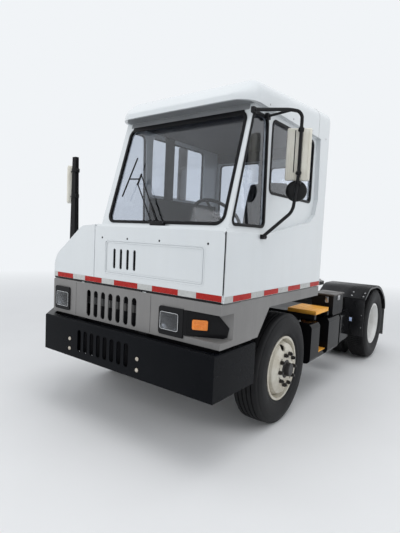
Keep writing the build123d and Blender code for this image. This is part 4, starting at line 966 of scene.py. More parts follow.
@dataclass
class Tyres:
    """Smooth treaded tyres in place of the many-sided ones."""

    radius: float = AXLE_HEIGHT
    base: float = 0.4995
    half_width: float = 0.1395
    bead: float = 0.1045
    bead_radius: float = 0.2995
    groove: float = 0.009
    depth: float = 0.013
    steps: int = 96
    front_middle: float = 0.9865
    block_gap: float = 0.0045
    outer_drop: float = 0.003
    rear_middles: tuple[float, float] = (1.0755, 0.7325)
    grooves: tuple[float, ...] = (0.066, 0.022, -0.022, -0.066)
    lug_edges: tuple[float, ...] = (0.108, 0.065, 0.022, -0.022, -0.065, -0.108)

    def sidewall(self) -> list[tuple[float, float]]:
        """Outline of one sidewall from bead to shoulder, as (across, radius).

        Returns:
            The outline's points.
        """
        return [(self.bead, self.bead_radius - 0.012), (self.bead, self.bead_radius), (0.112, 0.306),
                (0.121, 0.322), (0.126, 0.331), (0.1255, 0.336), (0.131, 0.352), (0.1365, 0.378),
                (self.half_width, 0.405), (0.1385, 0.430), (0.1375, 0.436), (0.1385, 0.4375), (0.134, 0.455),
                (0.1275, 0.474), (0.1225, 0.482), (0.1185, 0.484), (0.1165, 0.495)]

    def ribbed(self) -> list[tuple[float, float]]:
        """Outline of the steering tyre's tread, with running grooves.

        Returns:
            The outline's points, as (across, radius).
        """
        points: list[tuple[float, float]] = [(0.113, 0.503), (0.106, self.radius - 0.003)]
        for middle in self.grooves:
            half = self.groove / 2
            top = self.radius if abs(middle) < 0.05 else self.radius - 0.0008
            points += [(middle + half + 0.002, top), (middle + half * 0.6, self.radius - self.depth),
                       (middle - half * 0.6, self.radius - self.depth), (middle - half - 0.002, top)]
        return points + [(-0.106, self.radius - 0.003), (-0.113, 0.503)]

    def tyre(self, shape: Shape, place: Matrix, lugs: bool) -> None:
        """Add one tyre about its own middle, with local Z along its axle.

        Args:
            shape: The mesh under work.
            place: The matrix of the tyre's middle.
            lugs: Whether the tread has blocks in place of grooves.
        """
        side = self.sidewall()
        other = [(-across, radius) for across, radius in side[::-1]]
        tread = [(across, self.base) for across in self.lug_edges] if lugs else self.ribbed()
        outline = [(radius, across) for across, radius in side + tread + other]
        outline.append(outline[0])
        faces = shape.lathe(outline, place, self.steps)
        if not lugs:
            return
        back = place.inverted()
        blocks = []
        for face in faces:
            middle = back @ face.calc_center_median()
            if math.hypot(middle.x, middle.y) > 0.496 and abs(middle.z) < 0.1:
                blocks.append(face)
        bmesh.ops.inset_individual(shape.bm, faces=blocks, thickness=self.block_gap,
                                   use_even_offset=True)
        made = bmesh.ops.extrude_discrete_faces(shape.bm, faces=blocks)
        for face in made["faces"]:
            middle = back @ face.calc_center_median()
            outward = place.to_3x3() @ Vector((middle.x, middle.y, 0)).normalized()
            lift = self.radius - self.base - (self.outer_drop if abs(middle.z) > 0.07 else 0.0)
            bmesh.ops.translate(shape.bm, verts=face.verts[:], vec=outward * lift)

    def build(self) -> None:
        """Make the tyres of every wheel."""
        for side, word in ((1, "left"), (-1, "right")):
            for name, behind, middles, body, node in (
                    ("front tread ", FRONT_AXLE, (self.front_middle,), "front_wheel_", "front_tyre_"),
                    ("rear treads ", REAR_AXLE, self.rear_middles, "rear_wheels_", "rear_tyres_")):
                shape = Shape()
                for middle in middles:
                    place = facing(spot(side * middle, behind, AXLE_HEIGHT), LEFT)
                    self.tyre(shape, place, behind == REAR_AXLE)
                shape.piece(name + word, TYRE_RUBBER, body + word, [node + word])


@dataclass
class FrontWheel:
    """The left front wheel, stopped where the photograph shows it."""

    turn: float = 60.0

    def build(self, frame: dict) -> None:
        """Turn the wheel about its axle.
        """
        mesh = frame["nodes"]["front_wheel_left"].data.copy()
        middle = spot(0, FRONT_AXLE, AXLE_HEIGHT)
        turned = Matrix.Translation(middle) @ Matrix.Rotation(math.radians(self.turn), 4, "X")
        mesh.transform(turned @ Matrix.Translation(-middle))
        adopt(mesh, "front wheel turned", FRONT_RIM, "front_wheel_left", ["front_wheel_left"])


@dataclass
class SafetyTape:
    """Red blocks on a pale reflective strip along the cab's lower edge."""

    border: float = 0.0015
    thick: float = 0.0006
    front_levels: tuple[float, float] = (1.2515, 1.298)
    side_levels: tuple[float, float] = (1.243, 1.2895)
    front_ends: tuple[float, float] = (-0.826, 1.130)
    side_ends: tuple[float, float] = (0.112, 1.924)
    front_reds: tuple[tuple[float, float], ...] = (
        (-0.772, -0.535), (-0.359, -0.130), (0.030, 0.310), (0.472, 0.735), (0.907, 1.1285))
    side_reds: tuple[tuple[float, float], ...] = ((0.224, 0.483), (0.694, 0.950), (1.153, 1.423), (1.674, 1.918))

    def build(self) -> None:
        """Lay the tape on the front and the left side."""
        reds = Shape()
        pales = Shape()
        for place, ends, levels, blocks in (
                (facing(spot(0, PANEL_FACE, 0), FORWARD), self.front_ends, self.front_levels, self.front_reds),
                (facing(spot(CAB_LEFT, 0, 0), LEFT), self.side_ends, self.side_levels, self.side_reds)):
            low, high = levels
            pales.sheet(rectangle(*ends, low, high), place, thick=self.thick)
            above = shifted(place, 0, 0, self.thick)
            for start, end in blocks:
                reds.sheet(rectangle(start, end, low + self.border, high - self.border), above, thick=self.thick)
        reds.piece("red tape", TAPE_RED, "cab")
        pales.piece("pale tape", TAPE_WHITE, "cab")


@dataclass
class Windows:
    """Rubber gaskets round every pane."""

    outside: float = 0.014
    inside: float = 0.010
    proud: float = 0.005
    sunk: float = 0.014
    corner: float = 0.045
    band: float = 0.0062
    screen: tuple[float, float, float, float] = (-0.160, 1.050, 0.030, 0.910)
    window_left: float = 1.100
    sides: tuple[tuple[tuple[float, float], ...], ...] = (
        ((0.222, 1.800), (0.700, 1.800), (0.672, 2.645), (0.452, 2.640)),
        ((0.762, 2.080), (1.628, 2.080), (1.628, 2.660), (0.762, 2.650)))
    backs: tuple[tuple[str, str, float, float, float, float, float], ...] = (
        ("window gaskets", "cab", 1.930, -0.170, 0.360, 1.850, 2.560),
        ("door gasket", "door", 1.966, 0.480, 1.000, 1.850, 2.500))

    def gasket(self, shape: Shape, corners: Outline, place: Matrix, radius: float, wider: float = 0.0) -> None:
        """Add one ring round an opening.

        Args:
            shape: The mesh under work.
            corners: The opening's outline.
            place: Its plane; local Z looks out of the cab.
            radius: How round the opening's corners are.
            wider: How much wider than usual the ring is on each side.
        """
        out = self.outside + wider
        inner = self.inside + wider
        shape.sheet(grown(corners, out), shifted(place, 0, 0, 0.0004), radius + out, self.proud, 0.0018,
                    rim=out + inner, steps=8)
        shape.sheet(grown(corners, -0.0006), shifted(place, 0, 0, -self.sunk), radius, self.sunk, 0.0,
                    rim=inner - 0.0006, steps=8)

    def build(self) -> None:
        """Fit the gaskets of the cab and the rear door."""
        cab = Shape()
        left, right, low, high = self.screen
        self.gasket(cab, rectangle(left, right, low, high), windscreen(), 0.07, 0.001)
        cab.sheet(rectangle(left + 0.02, right - 0.02, high - 0.030, high + 0.014),
                  shifted(windscreen(), 0, 0, 0.0006), 0.01, self.band, 0.001)
        for window in self.sides:
            self.gasket(cab, window, facing(spot(self.window_left, 0, 0), LEFT), self.corner)
            mirrored = [(-behind, height) for behind, height in window]
            self.gasket(cab, mirrored, facing(spot(CAB_RIGHT, 0, 0), -LEFT), self.corner)
        for shape, (name, body, behind, left, right, low, high) in zip((cab, Shape()), self.backs):
            place = facing(spot(0, behind, 0), -FORWARD)
            self.gasket(shape, rectangle(-right, -left, low, high), place, self.corner)
            shape.piece(name, GASKET, body)


@dataclass
class FrontEnd:
    """Lamps, bolts and seams of the bumper, fascia and front panel."""

    lamp_low: float = 0.983
    lamp_high: float = 1.117
    lamps: tuple[tuple[float, float], ...] = ((0.587, 0.765), (-0.752, -0.577))
    lamp_back: float = 0.0808
    lamp_bowl: float = 0.0796
    lamp_bar: float = 0.0768
    lamp_lens: float = 0.0765
    lamp_rim: float = 0.0742
    bumper_bolts: tuple[tuple[float, float], ...] = ((0.43, 0.72), (0.43, 0.631), (-0.43, 0.72), (-0.43, 0.631))
    panel_screws: tuple[float, ...] = (-0.136, 0.175, 0.53, 0.992)
    screw_level: float = 1.651
    pocket_corner: tuple[float, float] = (0.812, 0.085)
    pocket_end: tuple[float, float] = (1.141, 0.250)
    marker: tuple[float, float, float, float] = (0.065, 0.183, 1.016, 1.092)
    marker_cells: tuple[int, int] = (5, 3)
    wing: tuple[tuple[float, float], ...] = (
        (0.016, 0.970), (0.300, 0.970), (0.325, 0.981), (0.335, 1.046), (0.238, 1.150), (0.016, 1.150))
    # Dark plates behind the bumper's and fascia's slots and gaps: painted shade.
    slot_shades: Rows = (
        (-0.560, 0.140, 0.925, 0.335, 0.142, 1.190, 0.0), (-0.398, 0.056, 0.605, 0.398, 0.058, 0.840, 0.0),
        (-0.790, 0.150, 0.800, 1.095, 0.152, 0.934, 0.0),
        (-0.4704, 0.0846, 0.926, -0.4676, 0.0853, 1.224, 0.0), (0.4716, 0.0846, 0.926, 0.4744, 0.0853, 1.224, 0.0))
    # Dark plate behind the front panel's vents: painted shade.
    vent_backing: Rows = ((-0.02, 0.1038, 1.385, 0.30, 0.1048, 1.575, 0.0),)
    # Black strip over the gap between the fascia and the cab, under the tape: painted shade of the gap.
    gap_shade: Rows = ((-0.818, 0.0935, 1.2390, 1.126, 0.0946, 1.2518, 0.0),)
    seam: Rows = ((1.1322, 0.0956, 1.302, 1.1352, 0.1045, 1.742, 0.0),)
    fins: tuple[int, float, float, float] = (18, -0.545, 0.050, 0.044)
    field: tuple[float, float, float, float] = (-0.101, 0.969, 1.343, 1.636)

    def headlamps(self) -> None:
        """Fit the dark reflectors, their crossbar, bright rims, bright domes of painted highlight and ribbed
        lenses.
        """
        mirror = Shape()
        bright = Shape()
        lens = Shape()
        bars = Shape()
        split = self.lamp_low + 0.58 * (self.lamp_high - self.lamp_low)
        for left, right in self.lamps:
            lamp = rectangle(left, right, self.lamp_low, self.lamp_high)
            mirror.sheet(grown(lamp, -0.003), ahead(self.lamp_back), 0.014, 0.0012, 0.0005)
            for low, high in ((self.lamp_low + 0.008, split - 0.004), (split + 0.004, self.lamp_high - 0.008)):
                bowl = rectangle(left + 0.009, right - 0.009, low, high)
                mirror.sheet(bowl, ahead(self.lamp_bowl), 0.012, 0.0012, 0.0006, rim=0.006)
            bars.box(spot(left + 0.004, self.lamp_bar, split - 0.004),
                     spot(right - 0.004, self.lamp_bowl, split + 0.004), 0.001)
            # Small bright domes paint the highlights at the lamps' corners.
            for across, height, wide in ((right - 0.030, self.lamp_high - 0.024, 0.017),
                                         (left + 0.036, self.lamp_low + 0.020, 0.022),
                                         (right - 0.034, self.lamp_low + 0.016, 0.010)):
                spark = facing(spot(across, self.lamp_bowl, height), FORWARD)
                bright.dome(spark @ Matrix.Diagonal((1.0, 0.45, 1.0, 1.0)), wide, 0.0024)
            lens.sheet(lamp, ahead(self.lamp_lens), 0.016, 0.0026, 0.001)
            bright.sheet(grown(lamp, 0.001), ahead(self.lamp_rim), 0.016, 0.0026, 0.0006, rim=0.0035)
            bars.sheet(grown(lamp, 0.012), ahead(self.lamp_rim), 0.024, 0.0018, 0.0006, rim=0.008)
        mirror.piece("lamp reflectors", REFLECTOR, "chassis")
        bright.piece("lamp rims and painted highlights", LAMP_TRIM_AND_GLINTS, "chassis")
        lens.piece("lamp lenses", LAMP_GLASS, "chassis", ["headlamps"])
        bars.piece("lamp crossbars", GLOSS_BLACK, "chassis")

    def marker_lamp(self) -> None:
        """Fit the amber lens with its grid of ribs, and the folded edge of its black wing."""
        start = spot(self.pocket_corner[0], self.pocket_corner[1], 0)
        along = spot(self.pocket_end[0], self.pocket_end[1], 0) - start
        normal = along.cross(UP).normalized()
        left, right, low, high = self.marker
        plate = rectangle(left, right, low, high)
        place = facing(start + normal * 0.0062, normal)
        lens = Shape()
        lens.sheet(plate, place, 0.012, 0.009, 0.003)
        columns, rows = self.marker_cells
        width = (right - left - 0.012) / columns
        height = (high - low - 0.012) / rows
        for row, column in product(range(rows), range(columns)):
            corner_x = left + 0.006 + column * width
            corner_y = low + 0.006 + row * height
            cell = rectangle(corner_x, corner_x + width, corner_y, corner_y + height)
            lens.sheet(grown(cell, -0.0015), shifted(place, 0, 0, 0.009), 0.003, 0.0025, 0.001, steps=3)
        lens.piece("amber lens", AMBER_LENS, "chassis", ["marker_lamps"])
        rim = Shape()
        rim.sheet(grown(plate, 0.006), place, 0.016, 0.006, 0.0015, rim=0.0055)
        rim.sheet(grown(plate, 0.018), place, 0.024, 0.0016, 0.0008, rim=0.004)
        for inset in (0.004, 0.017):
            rim.sheet(grown(self.wing, -inset), place, 0.010, 0.0022, 0.0009, rim=0.0045)
        rim.piece("amber lamp rim", GLOSS_BLACK, "chassis")

    def fasteners(self) -> None:
        """Set the bumper's bolts and the panel's screws."""
        bolts = Shape()
        washers = Shape()
        for across, height in self.bumper_bolts:
            place = facing(spot(across, 0, height), FORWARD)
            washers.lathe([(0.0, 0.0), (0.0235, 0.0), (0.0225, 0.0022), (0.0, 0.0026)], place, 28)
            bolts.dome(shifted(place, 0, 0, 0.0024), 0.0175, 0.0095)
        bolts.piece("bumper bolts", BOLT_STEEL, "chassis")
        washers.piece("bolt washers", BLACK_AND_RECESS_SHADE, "chassis")
        screws = Shape()
        for across in self.panel_screws:
            screws.dome(facing(spot(across, PANEL_FACE, self.screw_level), FORWARD), 0.0085, 0.005)
        screws.piece("panel screws", BLACK_PLASTIC, "cab")

    def recesses(self) -> None:
        """Back the vents and slots with dark plates of painted shade, cover the gap under the tape with painted
        shade, and draw the panel's seam and field.
        """
        block_piece("vent backing", BLACK_AND_RECESS_SHADE, "cab", self.vent_backing)
        block_piece("slot painted shade", BLACK_AND_RECESS_SHADE, "chassis", self.slot_shades)
        count, start, pitch, wide = self.fins
        block_piece("radiator fins", ENGINE_GREY, "chassis", tuple(
            (start + step * pitch, 0.134, 1.040, start + step * pitch + wide, 0.1398, 1.105, 0.0015)
            for step in range(count)))
        edge = Shape()
        for inset, rise in ((0.0, 0.0022), (0.016, 0.0012)):
            edge.sheet(grown(rectangle(*self.field), -inset), ahead(0.0953), 0.030 - inset / 2, rise, 0.0009,
                       rim=0.009)
        edge.piece("panel field edge", CAB_WHITE, "cab")
        block_piece("gap painted shade", GASKET, "cab", self.gap_shade)
        block_piece("panel seam", BLACK_AND_RECESS_SHADE, "cab", self.seam)

    def build(self) -> None:
        """Make the front end's pieces."""
        self.headlamps()
        self.marker_lamp()
        self.fasteners()
        self.recesses()


@dataclass
class Roof:
    """The cab's moulded roof, round at its brow, shoulders and front corners."""

    eaves: float = 2.7004
    brow: tuple[float, float] = (0.312, 0.150)
    corner: float = 0.170
    shoulder: float = 0.115
    profile: tuple[tuple[float, float], ...] = (
        (0.312, 2.738), (0.316, 2.748), (0.345, 2.776), (0.395, 2.821), (0.440, 2.858), (0.470, 2.879),
        (0.500, 2.890), (0.560, 2.8985), (1.930, 3.0235))
    stops: tuple[float, ...] = (0.470, 0.480, 0.500, 0.530, 0.560, 0.800, 1.200, 1.600, 1.900, 1.930)
    # The visor outline, the header rectangle and the underside height place the grey sheets of painted shade.
    visor: tuple[tuple[float, float], ...] = (
        (-0.115, 0.330), (1.020, 0.330), (1.095, 0.400), (1.095, 0.447), (-0.195, 0.447), (-0.195, 0.400))
    header: tuple[float, float, float, float] = (-0.176, 1.066, 0.9255, 0.9690)
    seam: tuple[float, float] = (1.640, 1.6425)
    screws: tuple[float, ...] = (0.62, 1.05, 1.48, 1.84)
    screw_level: float = 2.728
    underside: float = 2.6996

    def height(self, behind: float) -> float:
        """Height of the roof's middle at a distance behind the bumper.

        Args:
            behind: The distance.

        Returns:
            The height.
        """
        for (start, low), (end, high) in zip(self.profile, self.profile[1:]):
            if behind <= end:
                return low + (high - low) * max(0.0, behind - start) / (end - start)
        return self.profile[-1][1]

    def section(self, behind: float, grow: float = 0.0) -> list[Vector]:
        """Ring of one cross-section, with round shoulders.

        Args:
            behind: Distance of the section behind the bumper.
            grow: How far it stands off the moulding.

        Returns:
            The ring's points, from the right eave over the top to the left eave.
        """
        front = self.profile[0][0]
        depth = max(0.0, self.corner - (behind - front))
        pulled = self.corner - math.sqrt(max(0.0, self.corner ** 2 - depth ** 2))
        right, left = CAB_RIGHT + pulled - grow, CAB_LEFT - pulled + grow
        top = self.height(behind) + grow
        round_by = min(self.shoulder, (top - self.eaves) * 0.8)
        arc = [(round_by * (1 - math.cos(turn)), top - round_by * (1 - math.sin(turn)))
               for turn in turns(QUARTER, 7)]
        over = [(right + inward, height) for inward, height in arc]
        back = [(left - inward, height) for inward, height in arc[::-1]]
        return [spot(across, behind, height) for across, height in
                [(right, self.eaves)] + over + back + [(left, self.eaves)]]

    def build(self) -> None:
        """Loft the roof, lay grey painted shade under the visor and on the windscreen's header, and lay the rear
        seam and screws.
        """
        start, depth = self.brow
        stops = [start + depth * (1 - math.cos(turn)) for turn in turns(QUARTER, 12)]
        shell = Shape()
        shell.bridge([self.section(behind) for behind in (*stops, *self.stops)])
        shell.piece("moulded roof", CAB_WHITE, "cab", ["roof_cap"], smooth=50.0)
        # Grey sheets paint the shade under the visor and on the header above the windscreen.
        under = Shape()
        under.sheet(self.visor, Matrix.Translation(spot(0, 0, self.underside)), thick=-0.0012)
        under.sheet(rectangle(*self.header), windscreen(), 0.006, 0.0012)
        under.piece("visor painted shade", VISOR_SHADE_GREY, "cab")
        trim = Shape()
        trim.bridge([self.section(behind, 0.0006) for behind in self.seam])
        trim.piece("roof seam", DARK_TRIM_AND_SHADE, "cab")
        screws = Shape()
        for behind in self.screws:
            screws.dome(facing(spot(CAB_LEFT, behind, self.screw_level), LEFT), 0.008, 0.004)
        screws.piece("roof screws", BRIGHT_STEEL, "cab")


@dataclass
class InteriorShade:
    """Dark sheets inside the cab's walls, roof and floor: painted shade for the cab's interior."""

    pale: Rows = (
        (-0.200, 0.462, 2.688, 1.060, 1.890, 2.6985, 0.003), (-0.200, 1.884, 1.300, 0.468, 1.893, 1.838, 0.002),
        (-0.200, 1.884, 2.572, 1.060, 1.893, 2.688, 0.002), (0.372, 1.884, 1.838, 0.470, 1.893, 2.572, 0.002))
    dark: Rows = (
        (1.0555, 0.330, 1.300, 1.0635, 1.880, 1.782, 0.002), (1.0555, 0.735, 1.780, 1.0635, 1.880, 2.060, 0.002),
        (-0.203, 0.330, 1.300, -0.195, 1.880, 1.782, 0.002), (-0.203, 0.735, 1.780, -0.195, 1.880, 2.060, 0.002),
        (-0.203, 0.942, 2.060, -0.193, 1.080, 2.690, 0.003),
        (-0.190, 0.150, CAB_FLOOR, 1.090, 1.850, CAB_FLOOR + 0.006, 0.002),
        (-0.150, 0.165, 1.700, 1.050, 0.330, 1.742, 0.004))

    def build(self) -> None:
        """Line the ceiling and rear wall, then the side walls and the floor, with sheets of painted shade."""
        block_piece("cab upper painted shade", CAB_PAINTED_SHADE, "cab", self.pale)
        block_piece("cab painted shade", DARK_TRIM_AND_SHADE, "cab", self.dark)


@dataclass
class Fenders:
    """Rear fenders, round over the twin tyres, with a rolled outer lip."""

    outer: float = 1.225
    inner: float = 0.570
    skin: float = 0.006
    lip: float = 0.036
    path: tuple[tuple[float, float, float], ...] = (
        (3.4802, 0.930, 0.0), (3.4802, 0.950, 0.012), (3.740, 1.0915, 0.350), (4.348, 1.0915, 0.900),
        (4.7598, 0.800, 0.250), (4.7598, 0.690, 0.0))
    panel: tuple[tuple[float, float], ...] = (
        (0.960, 0.700), (1.105, 0.430), (1.225, 0.430), (1.225, 0.945), (0.960, 0.945))
    panel_face: float = 3.4862
    lip_end: float = 0.760
    # Distance behind, height at the frame and height at the fender of each stay.
    stays: Rows = ((3.600, 0.905, 1.005), (4.640, 0.850, 0.935))
    stay_ends: tuple[float, float] = (0.4325, 0.630)

    def build(self) -> None:
        """Bend both fenders and hang their drop panels and stays."""
        path = rounded(self.path, 10)
        above = [point for point in path if point[1] > self.lip_end]
        frame_side, reach = self.stay_ends
        shape = Shape()
        for side in (1, -1):
            shape.ribbon(path, side * self.inner, side * self.outer, self.skin)
            shape.ribbon(above, side * (self.outer - self.skin), side * self.outer, self.lip)
            panel = [(side * across, height) for across, height in self.panel]
            shape.sheet(panel, ahead(self.panel_face), thick=self.skin, edge=0.001)
            for at, height, top in self.stays:
                for start, high in ((frame_side, height - 0.020), (self.inner, top)):
                    right, left = sorted((side * start, side * reach))
                    shape.box(spot(right, at - 0.022, height - 0.060), spot(left, at + 0.022, high), 0.003)
        shape.piece("round fenders", FENDER_BLACK, "chassis", ["rear_fenders"], smooth=30.0)


@dataclass
class Mirrors:
    """Mirror arms, ribbed shells and glass on both sides."""

    tube: float = 0.0135
    path: tuple[tuple[float, float, float], ...] = (
        (1.120, 0.420, 2.640), (1.270, 0.720, 2.700), (1.330, 0.790, 2.690), (1.325, 0.800, 2.200),
        (1.300, 0.790, 1.930), (1.160, 0.600, 1.728))
    shell: tuple[float, float, float] = (0.190, 0.405, 0.046)
    left_at: tuple[float, float, float] = (1.3007, 0.830, 2.376)
    round_at: tuple[float, float, float] = (1.300, 0.835, 2.094)
    normal: tuple[float, float, float] = (0.42, -0.9, 0.0)
    ribs: tuple[float, ...] = (-0.070, -0.054, -0.038, -0.022, 0.030, 0.075)
    stay: Rows = ((1.120, 0.640, 2.650), (1.270, 0.720, 2.695))
    brackets: Rows = (
        (1.1004, 0.395, 2.615, 1.128, 0.445, 2.660, 0.004), (1.1004, 0.615, 2.625, 1.128, 0.665, 2.670, 0.004),
        (1.1414, 0.570, 1.700, 1.165, 0.640, 1.736, 0.005))
    clamps: Rows = (
        (1.3265, 0.7975, 2.140, 1.3265, 0.7975, 2.166, 0.022, 0.003),
        (1.3265, 0.7975, 2.215, 1.3265, 0.7975, 2.240, 0.022, 0.003),
        (1.3265, 0.7975, 2.545, 1.3265, 0.7975, 2.575, 0.022, 0.003),
        (1.3265, 0.798, 2.56, 1.3020, 0.806, 2.56, 0.009), (1.3265, 0.798, 2.23, 1.3020, 0.806, 2.23, 0.009),
        (1.280, 0.797, 2.235, 1.280, 0.797, 2.560, 0.0055))
    bolts: Rows = (
        (1.1285, 0.420, 2.6375, 0.008, 0.005), (1.1285, 0.640, 2.6475, 0.008, 0.005),
        (1.1655, 0.585, 1.718, 0.006, 0.004), (1.1655, 0.625, 1.718, 0.006, 0.004))
    right_arms: Rows = (
        (-1.085, 0.500, 2.070, -1.285, 0.568, 2.070, 0.009), (-1.085, 0.500, 2.340, -1.285, 0.568, 2.340, 0.009),
        (-1.086, 0.500, 2.050, -1.086, 0.500, 2.090, 0.042, 0.004),
        (-1.086, 0.500, 2.320, -1.086, 0.500, 2.360, 0.042, 0.004))

    def housing(self, place: Matrix, name: str, body: str, replaces: Sequence[str]) -> None:
        """Make one flat mirror: its ribbed shell and its glass.

        Args:
            place: The matrix of its middle; local Z looks to the ribbed back.
            name: The mirror's name.
            body: The body that it rides on.
            replaces: Nodes that its shell stands for.
        """
        width, height, depth = self.shell
        shell = Shape()
        shell.slab((width, height, depth), place, 0.012, 4)
        for across in self.ribs:
            shell.slab((0.007, height - 0.03, 0.006), shifted(place, across, 0, depth / 2 + 0.001), 0.0025, 3)
        shell.piece(name + " shell", MIRROR_SHELL, body, replaces)
        glass = Shape()
        behind = shifted(place, 0, 0, -depth / 2 - 0.0015) @ Matrix.Rotation(math.pi, 4, "Y")
        pane = grown(rectangle(-width / 2, width / 2, -height / 2, height / 2), -0.008)
        glass.sheet(pane, shifted(behind, 0, 0, -0.002), 0.01, 0.003, 0.0008)
        glass.piece(name + " glass", MIRROR_GLASS, body)

    def left_arm(self) -> None:
        """Bend the left arm's tubes and fit its brackets."""
        for name, path, radius, bend, stands_for in (
                ("mirror arm", self.path, self.tube, 0.045, ["left_mirror_arm"]),
                ("mirror stay", self.stay, 0.010, 0.02, [])):
            tube = bent_tube([spot(*point) for point in path], radius, bend, name)
            adopt(tube, name + " tube", BLACK_PLASTIC, "cab", stands_for)
        fittings = Shape()
        fittings.boxes(self.brackets)
        fittings.rods(self.clamps)
        for *at, radius, height in self.bolts:
            fittings.bolt(facing(spot(*at), LEFT), radius, height)
        fittings.piece("mirror fittings", BLACK_PLASTIC, "cab")

    def round_mirror(self) -> None:
        """Make the round mirror below the flat one."""
        back = Shape()
        place = facing(spot(*self.round_at), Vector(self.normal))
        rise = [(0.084 * math.cos(turn), -0.006 + 0.034 * math.sin(turn)) for turn in turns(QUARTER, 7)]
        back.lathe([(0.0, -0.012), (0.080, -0.012), (0.084, -0.016)] + rise, place, 48)
        back.rod(spot(1.3265, 0.7985, 2.155), spot(1.306, 0.826, 2.125), 0.010)
        back.piece("round mirror back", BLACK_PLASTIC, "cab")
        glass = Shape()
        glass.lathe([(0.0, -0.0185), (0.045, -0.0165), (0.079, -0.0125), (0.079, -0.0115), (0.0, -0.0115)],
                    place, 48)
        glass.piece("round mirror glass", MIRROR_GLASS, "cab")

    def right_side(self) -> None:
        """Dress the right mirror on its post."""
        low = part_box("right_mirror")[0]
        normal = Vector((-0.57, -0.82, 0))
        place = facing(Vector((low.x + 0.0907, spot(0, 0.585, 0).y, 2.205)), normal)
        self.housing(place, "right mirror", "chassis", ["right_mirror"])
        block_piece("right mirror arms", BLACK_PLASTIC, "chassis", (), self.right_arms)

    def build(self) -> None:
        """Make every mirror."""
        place = facing(spot(*self.left_at), Vector(self.normal))
        self.housing(place, "left mirror", "cab", ["left_mirrors"])
        self.left_arm()
        self.round_mirror()
        self.right_side()


@dataclass
class Wiper:
    """Twin-arm wiper parked on the windscreen."""

    base: Rows = ((0.392, 0.118, 1.7686, 0.530, 0.160, 1.800, 0.007, 3),)
    bars: Rows = (
        (0.450, 0.150, 1.775, 0.438, 0.132, 1.815, 0.013, 0.003),
        (0.450, 0.141, 1.795, 0.145, 0.262, 2.195, 0.0065, 0.0, 0.005),
        (0.395, 0.150, 1.775, 0.383, 0.132, 1.815, 0.013, 0.003),
        (0.395, 0.141, 1.795, 0.130, 0.238, 2.115, 0.0065, 0.0, 0.005),
        (0.128, 0.234, 2.105, 0.147, 0.263, 2.205, 0.008, 0.002),
        (0.138, 0.250, 2.160, 0.010, 0.252, 2.165, 0.0065, 0.002),
        (0.050, 0.305, 2.350, -0.020, 0.204, 2.010, 0.0065, 0.001))

    def build(self) -> None:
        """Make the wiper's base, arms and blade."""
        block_piece("wiper", BLACK_PLASTIC, "cab", self.base, self.bars, ["wiper"])


